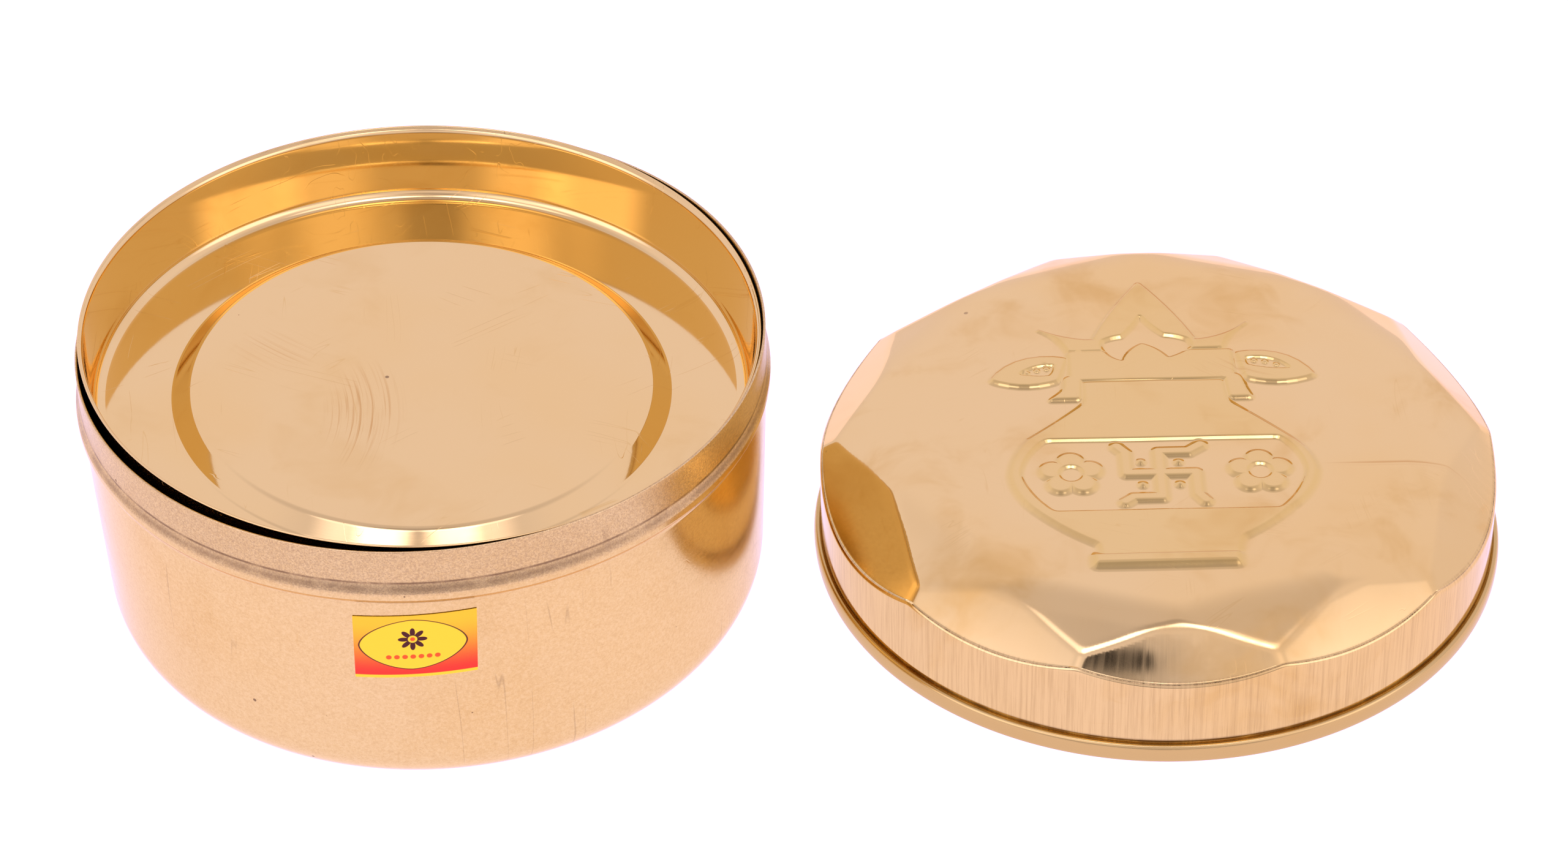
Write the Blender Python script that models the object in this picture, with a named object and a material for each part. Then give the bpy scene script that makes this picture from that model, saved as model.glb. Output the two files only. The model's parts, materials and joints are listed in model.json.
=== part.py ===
"""Brass spice box: a spun box with an inner plate, seven spice cups and a spoon, and its faceted lid beside it.

Metres, +Z up. The origin is the centre of the box's flat base. +X runs from the box to the lid, and -Y is the front.
"""

import math

import bmesh
import bpy
from mathutils import Matrix, Vector

MM = 0.001

# Sheet brass and the clearances between pieces
SHEET = 0.7 * MM
THIN_SHEET = 0.6 * MM
GAP = 0.3 * MM
WELD = 0.01 * MM

# Box body: a straight neck over a shoulder bead, a wall that tapers down, and a wide corner radius
NECK_RADIUS = 95.3 * MM
RIM_HEIGHT = 87.6 * MM
NECK_FOOT = 77.3 * MM
BEAD_RADIUS = 96.4 * MM
BEAD_TOP = 73.6 * MM
BEAD_FOOT = 72.0 * MM
WALL_TOP = 69.9 * MM
WALL_RADIUS = 95.0 * MM
WALL_FOOT_RADIUS = 92.3 * MM
CORNER_RADIUS = 15.0 * MM
BOX_STEPS = 72

# Inner plate, measured from the level of its lip down
PLATE_LIP_RADIUS = 94.1 * MM
PLATE_WALL_RADIUS = 93.2 * MM
PLATE_WALL_FOOT_RADIUS = 91.6 * MM
PLATE_LIP_DEPTH = 2.2 * MM
PLATE_FLOOR_DEPTH = 22.8 * MM
PLATE_FILLET = 3.0 * MM
PLATE_STEP_FOOT = 69.0 * MM
PLATE_STEP_TOP = 64.4 * MM
PLATE_MIDDLE_DEPTH = 19.4 * MM
PLATE_LIP_HEIGHT = 89.8 * MM
PLATE_SHIFT = -0.3 * MM
PLATE_LEAN_X = math.radians(0.5)
PLATE_LEAN_Y = math.radians(2.4)

# Outer lid, which stands on its hem beside the box
LID_PLACE = Vector((205.9 * MM, 11.0 * MM, 0.0))
LID_HEIGHT = 40.0 * MM
SKIRT_RADIUS = 96.3 * MM
HEM_RADIUS = 98.3 * MM
HEM_HEIGHT = 5.8 * MM
HEM_SIDES = 12
HEM_SQUARENESS = 0.8
FACETS = 10
FIRST_FACET = math.radians(-90)
FACET_CORNER_HEIGHT = 29.5 * MM
FACET_TIP_RADIUS = 82.0 * MM
FACET_NOTCH_RADIUS = 93.0 * MM
LID_SIDES = 120

# Spice cups: one in the middle and a ring of six
CUPS_IN_RING = 6
RING_RADIUS = 60.6 * MM
CUP_RIM_RADIUS = 28.8 * MM
CUP_FOOT_RADIUS = 18.0 * MM
CUP_HEIGHT = 38.0 * MM
CUP_CORNER = 6.0 * MM
CUP_STEPS = 36

# Spoon, which leans in the middle cup
SPOON_LENGTH = 70.0 * MM
SPOON_BOWL_LENGTH = 24.0 * MM
SPOON_BOWL_WIDTH = 17.0 * MM
SPOON_BOWL_DEPTH = 4.0 * MM
SPOON_STEM_WIDTH = 4.0 * MM
SPOON_TAIL_WIDTH = 7.0 * MM
SPOON_THICKNESS = 1.0 * MM
SPOON_ROWS = 36
SPOON_COLUMNS = 8
SPOON_LEAN = math.radians(40)
SPOON_TURN = math.radians(28)
SPOON_TIP_REACH = 16.0 * MM
SPOON_TIP_HEIGHT = 3.0 * MM

# Paper label on the front of the wall
LABEL_WIDTH = 33.2 * MM
LABEL_HEIGHT = 22.2 * MM
LABEL_MIDDLE_HEIGHT = 54.6 * MM
LABEL_ANGLE = math.radians(-89.3)
LABEL_THICKNESS = 0.2 * MM
LABEL_COLUMNS = 10

BRASS = (0.78, 0.54, 0.24, 1.0)
PALE_BRASS = (0.83, 0.61, 0.34, 1.0)
LABEL_PAPER = (0.93, 0.45, 0.10, 1.0)


def clear_scene():
    """Removes whatever the scene starts with."""
    for old in list(bpy.data.objects):
        bpy.data.objects.remove(old, do_unlink=True)


def make_material(name, color, roughness, metallic=1.0):
    """A Principled material of one colour."""
    material = bpy.data.materials.new(name)
    material.use_nodes = True
    shader = material.node_tree.nodes["Principled BSDF"]
    shader.inputs["Base Color"].default_value = color
    shader.inputs["Roughness"].default_value = roughness
    shader.inputs["Metallic"].default_value = metallic
    material.diffuse_color = color
    return material


def add_object(name, mesh, material, place=(0.0, 0.0, 0.0)):
    """Puts a mesh in the scene as one named piece."""
    piece = bpy.data.objects.new(name, mesh)
    piece.location = place
    bpy.context.scene.collection.objects.link(piece)
    if not mesh.materials:
        mesh.materials.append(material)
    mesh.shade_smooth()
    mesh.set_sharp_from_angle(angle=math.radians(35))
    return piece


def arc(center, radius, start, end, count):
    """Points in the (radius, height) plane along an arc, from one angle in degrees to another."""
    points = []
    for step in range(count + 1):
        angle = math.radians(start + (end - start) * step / count)
        points.append((center[0] + radius * math.cos(angle), center[1] + radius * math.sin(angle)))
    return points


def offset_profile(outer, thickness):
    """The same profile moved sideways by the sheet's thickness, towards the inside of the vessel."""
    moved = []
    last = len(outer) - 1
    for index, (radius, height) in enumerate(outer):
        before = Vector(outer[max(index - 1, 0)])
        after = Vector(outer[min(index + 1, last)])
        along = (after - before).normalized()
        normal = Vector((along.y, -along.x))
        moved.append((radius + normal.x * thickness, height + normal.y * thickness))
    if abs(outer[last][0]) < WELD:
        moved[last] = (0.0, outer[last][1] + thickness)
    return moved


def spin(name, profile, open_at_axis, steps):
    """Spins an outline round Z. It starts on its outer side and runs down it, and may leave the axis open."""
    count = len(profile)
    edges = [(index, (index + 1) % count) for index in range(count)]
    if open_at_axis:
        edges.remove((count // 2 - 1, count // 2))
    mesh = bpy.data.meshes.new(name)
    mesh.from_pydata([(radius, 0.0, height) for radius, height in profile], edges, [])
    piece = bpy.data.objects.new(name, mesh)
    bpy.context.scene.collection.objects.link(piece)
    screw = piece.modifiers.new("spin", "SCREW")
    screw.steps = steps
    screw.render_steps = steps
    screw.use_merge_vertices = True
    screw.merge_threshold = WELD
    return piece


def spun_sheet(name, outer, thickness, steps):
    """The mesh of a spun vessel, whose sheet runs down its outer side to the axis and back up its inner side."""
    inner = offset_profile(outer, thickness)
    piece = spin(name, outer + inner[::-1], True, steps)
    graph = bpy.context.evaluated_depsgraph_get()
    spun = bpy.data.meshes.new_from_object(piece.evaluated_get(graph))
    bpy.data.objects.remove(piece, do_unlink=True)
    return spun


def box_profile():
    """Outer side of the box from its rim down to the middle of the base."""
    corner_center = (WALL_FOOT_RADIUS - CORNER_RADIUS, CORNER_RADIUS)
    profile = [(NECK_RADIUS, RIM_HEIGHT), (NECK_RADIUS, NECK_FOOT)]
    profile += [(BEAD_RADIUS - GAP, BEAD_TOP + GAP), (BEAD_RADIUS, BEAD_TOP), (BEAD_RADIUS, BEAD_FOOT)]
    profile += [(WALL_RADIUS, WALL_TOP)]
    profile += arc(corner_center, CORNER_RADIUS, 0, -90, 8)
    profile += [(0.0, 0.0)]
    return profile


def make_box(material):
    """The spun box, open at the top."""
    mesh = spun_sheet("box_body", box_profile(), SHEET, BOX_STEPS)
    return add_object("box_body", mesh, material)


def plate_profile():
    """Under side of the inner plate from its lip down to its raised middle, with the lip at height 0."""
    fillet_center = (PLATE_WALL_FOOT_RADIUS - PLATE_FILLET, PLATE_FILLET - PLATE_FLOOR_DEPTH)
    profile = [(PLATE_LIP_RADIUS, 0.0), (PLATE_WALL_RADIUS, -PLATE_LIP_DEPTH)]
    profile += arc(fillet_center, PLATE_FILLET, 0, -90, 5)
    profile += [(PLATE_STEP_FOOT, -PLATE_FLOOR_DEPTH), (PLATE_STEP_TOP, -PLATE_MIDDLE_DEPTH)]
    profile += [(0.0, -PLATE_MIDDLE_DEPTH)]
    return [(radius, height - THIN_SHEET) for radius, height in profile]


def make_plate(material):
    """The inner plate, a little out of level in the mouth of the box."""
    mesh = spun_sheet("inner_plate", plate_profile(), THIN_SHEET, BOX_STEPS)
    piece = add_object("inner_plate", mesh, material, (PLATE_SHIFT, 0.0, PLATE_LIP_HEIGHT))
    piece.rotation_euler = (PLATE_LEAN_X, PLATE_LEAN_Y, 0.0)
    return piece


def cup_profile():
    """Outer side of a spice cup from its rim down to the middle of its foot."""
    corner_center = (CUP_FOOT_RADIUS, CUP_CORNER)
    profile = [(CUP_RIM_RADIUS, CUP_HEIGHT)]
    profile += arc(corner_center, CUP_CORNER, -8, -90, 4)
    profile += [(0.0, 0.0)]
    return profile


def make_cups(material):
    """One cup in the middle and six round it, all on the floor of the box."""
    mesh = spun_sheet("spice_cup", cup_profile(), THIN_SHEET, CUP_STEPS)
    floor = SHEET + GAP
    cups = [add_object("cup_centre", mesh, material, (0.0, 0.0, floor))]
    for index in range(CUPS_IN_RING):
        angle = 2 * math.pi * index / CUPS_IN_RING
        place = (RING_RADIUS * math.cos(angle), RING_RADIUS * math.sin(angle), floor)
        cups.append(add_object(f"cup_{index + 1}", mesh, material, place))
    return cups


def turned(angle):
    """The level direction at this angle round the axis."""
    return Vector((math.cos(angle), math.sin(angle), 0.0))


def facet_planes(inset):
    """Point and outward normal of each flat of the lid's shoulder, set back into the sheet by inset.

    Each steep facet rises from two corners on the skirt to a tip on the top, and neighbours share a short edge.
    An upside-down triangle fills the space between two tips and the notch at the upper end of that edge.
    """
    half = math.pi / FACETS
    rise = LID_HEIGHT - FACET_CORNER_HEIGHT
    slope = rise / (SKIRT_RADIUS * math.cos(half) - FACET_TIP_RADIUS)
    notch_height = FACET_CORNER_HEIGHT + (SKIRT_RADIUS - FACET_NOTCH_RADIUS) * math.cos(half) * slope
    planes = []
    for index in range(FACETS):
        middle = FIRST_FACET + 2 * half * index
        tip = turned(middle) * FACET_TIP_RADIUS + Vector((0, 0, LID_HEIGHT))
        next_tip = turned(middle + 2 * half) * FACET_TIP_RADIUS + Vector((0, 0, LID_HEIGHT))
        corner = turned(middle + half) * SKIRT_RADIUS + Vector((0, 0, FACET_CORNER_HEIGHT))
        last_corner = turned(middle - half) * SKIRT_RADIUS + Vector((0, 0, FACET_CORNER_HEIGHT))
        notch = turned(middle + half) * FACET_NOTCH_RADIUS + Vector((0, 0, notch_height))
        for a, b, c in ((last_corner, corner, tip), (tip, notch, next_tip)):
            normal = (b - a).cross(c - a).normalized()
            planes.append((a - normal * inset, normal))
    return planes


def lid_block(name, radius, foot, top, inset):
    """The solid block inside the lid's outer or inner surface: a cylinder with its shoulder cut to facets."""
    mesh = bpy.data.meshes.new(name)
    block = bmesh.new()
    lift = Matrix.Translation((0.0, 0.0, (foot + top) / 2))
    bmesh.ops.create_cone(block, cap_ends=True, segments=LID_SIDES, radius1=radius, radius2=radius,
                          depth=top - foot, matrix=lift)
    for point, normal in facet_planes(inset):
        parts = block.verts[:] + block.edges[:] + block.faces[:]
        cut = bmesh.ops.bisect_plane(block, geom=parts, plane_co=point, plane_no=normal,
                                     clear_outer=True, dist=1e-7)
        rim = [part for part in cut["geom_cut"] if isinstance(part, bmesh.types.BMEdge)]
        bmesh.ops.contextual_create(block, geom=rim)
    bmesh.ops.recalc_face_normals(block, faces=block.faces[:])
    block.to_mesh(mesh)
    block.free()
    return mesh


def signed_power(value, power):
    """The value raised to a power, with its sign kept."""
    return math.copysign(abs(value) ** power, value)


def hem_profile():
    """Outline of the rolled hem round the foot of the skirt, reaching a little past its inner side."""
    inner = SKIRT_RADIUS - THIN_SHEET - GAP
    half_width = (HEM_RADIUS - inner) / 2
    half_height = HEM_HEIGHT / 2
    profile = []
    for step in range(HEM_SIDES):
        angle = -2 * math.pi * step / HEM_SIDES
        across = signed_power(math.cos(angle), HEM_SQUARENESS)
        up = signed_power(math.sin(angle), HEM_SQUARENESS)
        profile.append((inner + half_width * (1 + across), half_height * (1 + up)))
    return profile


def hide_cutter(cutter):
    """Keeps a helper out of the model."""
    cutter.hide_render = True
    cutter.display_type = "WIRE"
    cutter.location = LID_PLACE


def make_lid(material):
    """The lid: a faceted cap hollowed to a thin sheet, with a rolled hem."""
    outer = lid_block("outer_lid", SKIRT_RADIUS, HEM_HEIGHT / 2, LID_HEIGHT, 0.0)
    lid = add_object("outer_lid", outer, material, LID_PLACE)
    hem = spin("lid_hem", hem_profile(), False, LID_SIDES)
    hide_cutter(hem)
    inner = lid_block("lid_hollow", SKIRT_RADIUS - THIN_SHEET, -HEM_HEIGHT, LID_HEIGHT - THIN_SHEET, THIN_SHEET)
    hollow = bpy.data.objects.new("lid_hollow", inner)
    bpy.context.scene.collection.objects.link(hollow)
    hide_cutter(hollow)
    join = lid.modifiers.new("hem", "BOOLEAN")
    join.operation = "UNION"
    join.object = hem
    cut = lid.modifiers.new("hollow", "BOOLEAN")
    cut.operation = "DIFFERENCE"
    cut.object = hollow
    return lid


def spoon_width(along):
    """Half width of the spoon at this distance from the tip of its bowl."""
    if along < SPOON_BOWL_LENGTH:
        share = 2 * along / SPOON_BOWL_LENGTH - 1
        bowl = SPOON_BOWL_WIDTH / 2 * math.sqrt(max(1 - share * share, 0.0))
    else:
        bowl = 0.0
    tail = (along - SPOON_BOWL_LENGTH) / (SPOON_LENGTH - SPOON_BOWL_LENGTH)
    stem = SPOON_STEM_WIDTH / 2 + (SPOON_TAIL_WIDTH - SPOON_STEM_WIDTH) / 2 * max(tail, 0.0)
    return max(bowl, stem)


def make_spoon(material):
    """The spoon, pressed from one strip: a dished bowl and a flat handle that widens to its tail."""
    mesh = bpy.data.meshes.new("spoon")
    sheet = bmesh.new()
    grid = []
    for row in range(SPOON_ROWS + 1):
        along = SPOON_LENGTH * row / SPOON_ROWS
        half = spoon_width(along)
        share = min(2 * along / SPOON_BOWL_LENGTH - 1, 1.0)
        line = []
        for column in range(SPOON_COLUMNS + 1):
            side = 2 * column / SPOON_COLUMNS - 1
            dish = -SPOON_BOWL_DEPTH * (1 - share * share) * (1 - side * side)
            line.append(sheet.verts.new((along - SPOON_LENGTH / 2, half * side, dish)))
        grid.append(line)
    for row in range(SPOON_ROWS):
        for column in range(SPOON_COLUMNS):
            corners = (grid[row][column], grid[row + 1][column])
            corners += (grid[row + 1][column + 1], grid[row][column + 1])
            sheet.faces.new(corners)
    sheet.to_mesh(mesh)
    sheet.free()
    reach = SPOON_LENGTH / 2 * math.cos(SPOON_LEAN) - SPOON_TIP_REACH
    height = SPOON_LENGTH / 2 * math.sin(SPOON_LEAN) + SPOON_TIP_HEIGHT
    spoon = add_object("spoon", mesh, material, turned(SPOON_TURN) * reach + Vector((0, 0, height)))
    spoon.rotation_euler = (0.0, -SPOON_LEAN, SPOON_TURN)
    thick = spoon.modifiers.new("thickness", "SOLIDIFY")
    thick.thickness = SPOON_THICKNESS
    thick.offset = 0.0
    return spoon


def wall_radius_at(height):
    """Outer radius of the tapering wall at this height."""
    share = (height - CORNER_RADIUS) / (WALL_TOP - CORNER_RADIUS)
    return WALL_FOOT_RADIUS + (WALL_RADIUS - WALL_FOOT_RADIUS) * share


def make_label(material):
    """The paper label, bent round the wall."""
    mesh = bpy.data.meshes.new("label_sticker")
    sheet = bmesh.new()
    spread = LABEL_WIDTH / WALL_RADIUS
    grid = []
    for height in (LABEL_MIDDLE_HEIGHT - LABEL_HEIGHT / 2, LABEL_MIDDLE_HEIGHT + LABEL_HEIGHT / 2):
        line = []
        for column in range(LABEL_COLUMNS + 1):
            outward = turned(LABEL_ANGLE + spread * (column / LABEL_COLUMNS - 0.5))
            line.append(sheet.verts.new(outward * (wall_radius_at(height) + GAP) + Vector((0, 0, height))))
        grid.append(line)
    for column in range(LABEL_COLUMNS):
        sheet.faces.new((grid[0][column], grid[0][column + 1], grid[1][column + 1], grid[1][column]))
    sheet.to_mesh(mesh)
    sheet.free()
    label = add_object("label_sticker", mesh, material)
    thick = label.modifiers.new("thickness", "SOLIDIFY")
    thick.thickness = LABEL_THICKNESS
    thick.offset = 1.0
    return label


def main():
    """Builds every piece of the spice box."""
    clear_scene()
    make_box(make_material("satin_brass", BRASS, 0.28))
    make_plate(make_material("plate_brass", PALE_BRASS, 0.15))
    make_cups(make_material("cup_brass", BRASS, 0.2))
    make_lid(make_material("lid_brass", PALE_BRASS, 0.2))
    make_spoon(make_material("spoon_brass", BRASS, 0.2))
    make_label(make_material("label_paper", LABEL_PAPER, 0.45, metallic=0.0))


main()
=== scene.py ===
"""Looks for the brass spice box: the spun box with its plate, cups and spoon, and the faceted lid beside it.

Metres, +Z up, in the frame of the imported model. X runs from the box to the lid, and -Y is the front.
"""

from __future__ import annotations

import json
import logging
import math
from dataclasses import dataclass
from enum import Enum
from typing import Any, Sequence

import bmesh
import bpy
import numpy as np
from mathutils import Euler, Matrix, Vector
from mathutils.geometry import delaunay_2d_cdt

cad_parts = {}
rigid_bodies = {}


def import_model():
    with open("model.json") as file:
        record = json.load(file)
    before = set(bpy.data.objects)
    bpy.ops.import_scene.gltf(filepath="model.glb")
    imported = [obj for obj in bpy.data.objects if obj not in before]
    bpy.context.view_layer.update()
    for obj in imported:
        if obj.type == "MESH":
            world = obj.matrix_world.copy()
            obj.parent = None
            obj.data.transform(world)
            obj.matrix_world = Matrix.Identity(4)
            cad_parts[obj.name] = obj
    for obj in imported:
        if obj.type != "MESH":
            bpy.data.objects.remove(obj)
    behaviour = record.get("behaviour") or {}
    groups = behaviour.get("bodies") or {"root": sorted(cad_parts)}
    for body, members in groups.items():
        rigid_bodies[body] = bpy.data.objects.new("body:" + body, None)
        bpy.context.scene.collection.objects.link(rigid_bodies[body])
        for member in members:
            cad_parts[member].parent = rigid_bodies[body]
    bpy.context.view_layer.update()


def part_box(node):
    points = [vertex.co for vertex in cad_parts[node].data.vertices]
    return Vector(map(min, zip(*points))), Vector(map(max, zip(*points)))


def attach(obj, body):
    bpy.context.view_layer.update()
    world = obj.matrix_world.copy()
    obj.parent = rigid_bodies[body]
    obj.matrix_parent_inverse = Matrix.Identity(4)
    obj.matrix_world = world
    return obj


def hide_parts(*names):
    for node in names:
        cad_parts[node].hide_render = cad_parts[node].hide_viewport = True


MM = 0.001
TINY = 1e-9
WELD = 1e-6
LEVEL = (1.0, 1.0, 0.0)
HALF = (0.5, 0.5, 0.5)
SHARP = math.radians(40)
UP = Vector((0.0, 0.0, 1.0))
LOG = logging.getLogger("spice_box")

Color = tuple[float, float, float, float]
Outline = list[tuple[float, float]]


class Signal:
    """A node's output, which takes part in sums as a number or as a vector does."""

    def __init__(self, wiring: Wiring, socket: bpy.types.NodeSocket, vector: bool = False) -> None:
        """Wraps one output."""
        self.wiring, self.socket, self.vector = wiring, socket, vector

    def __add__(self, other: Any) -> Signal:
        """This and another, added."""
        return self._sum("ADD", other)

    def __sub__(self, other: Any) -> Signal:
        """This less another."""
        return self._sum("SUBTRACT", other)

    def __mul__(self, other: Any) -> Signal:
        """This times another. A vector times a number keeps its direction."""
        return self._sum("SCALE" if self.vector and not isinstance(other, tuple) else "MULTIPLY", other)

    def __truediv__(self, other: Any) -> Signal:
        """This divided by another."""
        return self._sum("DIVIDE", other)

    def __pow__(self, other: float) -> Signal:
        """This raised to a power."""
        return self._sum("POWER", other)

    def __abs__(self) -> Signal:
        """This without its sign."""
        return self._sum("ABSOLUTE")

    def dot(self, other: Any) -> Signal:
        """How far this vector reaches along another."""
        return self._sum("DOT_PRODUCT", other)

    def length(self) -> Signal:
        """This vector's length."""
        return self._sum("LENGTH")

    def unit(self) -> Signal:
        """This vector's direction."""
        return self._sum("NORMALIZE")

    def parts(self) -> list[Signal]:
        """This vector's three numbers."""
        split = self.wiring.node("ShaderNodeSeparateXYZ", {0: self})
        return [Signal(self.wiring, output) for output in split.outputs]

    def noise(self, scale: float, detail: float = 2.0, roughness: float = 0.5) -> Signal:
        """Smooth random values between 0 and 1 over this position."""
        inputs = {"Vector": self, "Scale": scale, "Detail": detail, "Roughness": roughness}
        return self.wiring.take("ShaderNodeTexNoise", inputs, "Fac")

    def band(self, low: float, high: float, start: float = 0.0, end: float = 1.0) -> Signal:
        """Eases this number from one value to another.

        Args:
            low: Where the change begins.
            high: Where it ends.
            start: The answer at low.
            end: The answer at high.

        Returns:
            The eased value.
        """
        inputs = {"Value": self, "From Min": low, "From Max": high, "To Min": start, "To Max": end}
        return self.wiring.take("ShaderNodeMapRange", inputs, "Result", interpolation_type="SMOOTHSTEP")

    def _sum(self, operation: str, other: Any = None) -> Signal:
        """Adds the node for one sum.

        Args:
            operation: The name of the sum in Blender.
            other: The second number or vector, if there is one.

        Returns:
            The answer.
        """
        inputs = {0: self}
        if other is not None:
            inputs["Scale" if operation == "SCALE" else 1] = other
        if not self.vector:
            return self.wiring.take("ShaderNodeMath", inputs, operation=operation)
        number = operation in ("DOT_PRODUCT", "LENGTH")
        output = "Value" if number else "Vector"
        return self.wiring.take("ShaderNodeVectorMath", inputs, output, not number, operation=operation)


class Wiring:
    """Adds nodes to one tree and joins them, with little ceremony."""

    def __init__(self, tree: bpy.types.NodeTree) -> None:
        """Starts on a tree."""
        self.tree = tree

    def fill(self, node: bpy.types.Node, inputs: dict[Any, Any]) -> None:
        """Sets a node's inputs.

        Args:
            node: The node.
            inputs: Values, sockets or signals, by the input's name or number.
        """
        for key, value in inputs.items():
            value = getattr(value, "socket", value)
            if isinstance(value, bpy.types.NodeSocket):
                self.tree.links.new(value, node.inputs[key])
            else:
                node.inputs[key].default_value = value

    def node(self, kind: str, inputs: dict[Any, Any] | None = None, **settings: Any) -> bpy.types.Node:
        """Adds one node.

        Args:
            kind: Blender's name for the node type.
            inputs: What its inputs take.
            **settings: Properties of the node itself.

        Returns:
            The new node.
        """
        made = self.tree.nodes.new(kind)
        for key, value in settings.items():
            setattr(made, key, value)
        self.fill(made, inputs or {})
        return made

    def take(self, kind: str, inputs: dict[Any, Any] | None = None, output: Any = 0, vector: bool = False,
             **settings: Any) -> Signal:
        """Adds one node and takes one of its outputs.

        Args:
            kind: Blender's name for the node type.
            inputs: What its inputs take.
            output: The output's name or number.
            vector: Whether that output is a vector or a colour.
            **settings: Properties of the node itself.

        Returns:
            The output.
        """
        return Signal(self, self.node(kind, inputs, **settings).outputs[output], vector)

    def math(self, operation: str, first: Any, second: Any = 0.0, clamp: bool = False) -> Signal:
        """Does a sum on two numbers, and may hold the answer between 0 and 1."""
        return self.take("ShaderNodeMath", {0: first, 1: second}, operation=operation, use_clamp=clamp)

    def point(self, x: Any = 0.0, y: Any = 0.0, z: Any = 0.0) -> Signal:
        """Makes a vector from three numbers."""
        return self.take("ShaderNodeCombineXYZ", {0: x, 1: y, 2: z}, vector=True)

    def turned(self, place: Any, angle: Any) -> Signal:
        """Turns a position round Z."""
        return self.take("ShaderNodeVectorRotate", {"Vector": place, "Angle": angle}, vector=True)

    def layered(self, color: Any, layers: Sequence[tuple[Signal, Color]]) -> Signal:
        """Lays colours over a first one.

        Args:
            color: The first colour.
            layers: How much of each colour shows, and the colour.

        Returns:
            The mixed colour.
        """
        for share, tone in layers:
            inputs = {0: share, 6: color, 7: tone}
            color = self.take("ShaderNodeMix", inputs, 2, True, data_type="RGBA", blend_type="MIX")
        return color

    def bump(self, height: Signal, strength: float = 1.0) -> Signal:
        """Turns a height in metres into a bumped normal."""
        inputs = {"Height": height, "Distance": 1.0, "Strength": strength}
        return self.take("ShaderNodeBump", inputs, "Normal", True)


def fresh_material(name: str, tone: Color) -> tuple[bpy.types.Material, Wiring, bpy.types.Node]:
    """Makes a plain material.

    Args:
        name: Its name.
        tone: Its colour in the viewport.

    Returns:
        The material, the wiring on its tree and its shader.
    """
    made = bpy.data.materials.new(name)
    made.use_nodes = True
    made.diffuse_color = tone
    return made, Wiring(made.node_tree), made.node_tree.nodes["Principled BSDF"]


class Grain(Enum):
    """How a brass surface was last worked."""

    SPUN = "rings round the axis"
    BRUSHED = "strokes up and down"
    BUFFED = "short strokes every way"


@dataclass(frozen=True)
class CreaseShade:
    """A line of painted shade in a crease: its height, its width and how dark it is."""

    height: float
    width: float
    strength: float


@dataclass(frozen=True)
class Rub:
    """A patch of curved rub marks: its middle, the point that it curves round, its reach and its strength."""

    middle: tuple[float, float]
    pivot: tuple[float, float]
    reach: tuple[float, float]
    strength: float


@dataclass(frozen=True)
class BrassFinish:
    """Bare brass, with its tone, its grain and its wear, and with shade painted into creases and onto the emblem's
    slopes.

    The lengths are in metres and the shares are between 0 and 1.
    """

    name: str
    centre: tuple[float, float] = (0.0, 0.0)
    tone: Color = (0.76, 0.54, 0.19, 1.0)
    warm: Color = (0.76, 0.51, 0.155, 1.0)
    ochre: Color = (0.62, 0.36, 0.07, 1.0)
    # Darker colour on the emblem: painted shade on its slopes, an ochre tint of old polish on its raised parts.
    patina_and_slope_shade: Color = (0.70, 0.48, 0.115, 1.0)
    # Dark colour of the hairlines and pits, and of the painted shade in creases.
    tarnish_and_crease_shade: Color = (0.16, 0.085, 0.035, 1.0)
    grit: Color = (0.30, 0.20, 0.10, 1.0)
    stroke: Color = (0.36, 0.22, 0.07, 1.0)
    rub: Color = (0.56, 0.30, 0.07, 1.0)
    shade: Color = (0.45, 0.26, 0.07, 1.0)
    gleam: Color = (0.95, 0.76, 0.34, 1.0)
    edge_tint: Color = (1.0, 0.93, 0.78, 1.0)
    roughness: float = 0.16
    rough_spread: float = 0.05
    grain: Grain = Grain.SPUN
    grain_width: float = 0.0012
    grain_height: float = 0.00002
    streaks: float = 0.0
    streaks_below: float = 0.0
    streaks_beyond: float = 0.0
    speckle: float = 0.0
    speckle_from: float = 0.0
    speckle_beyond: float = 0.0
    matt: float = 0.10
    # Lines of painted shade in creases, at given heights.
    crease_shades: tuple[CreaseShade, ...] = ()
    rubs: tuple[Rub, ...] = ()
    warmth: float = 0.5
    stains: float = 0.2
    scratches: float = 0.4
    specks: float = 0.5
    speck_scale: float = 95.0
    speck_size: float = 0.075
    mottle: float = 0.0
    hairlines: float = 0.0

    def material(self) -> bpy.types.Material:
        """Builds the finish.

        Returns:
            A material on object coordinates.
        """
        made, wiring, shader = fresh_material(self.name, self.tone)
        painter = BrassPainter(self, wiring)
        wiring.fill(shader, {"Base Color": painter.color(), "Roughness": painter.roughness(),
                             "Normal": painter.normal(), "Metallic": 1.0, "Specular Tint": self.edge_tint})
        return made


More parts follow.
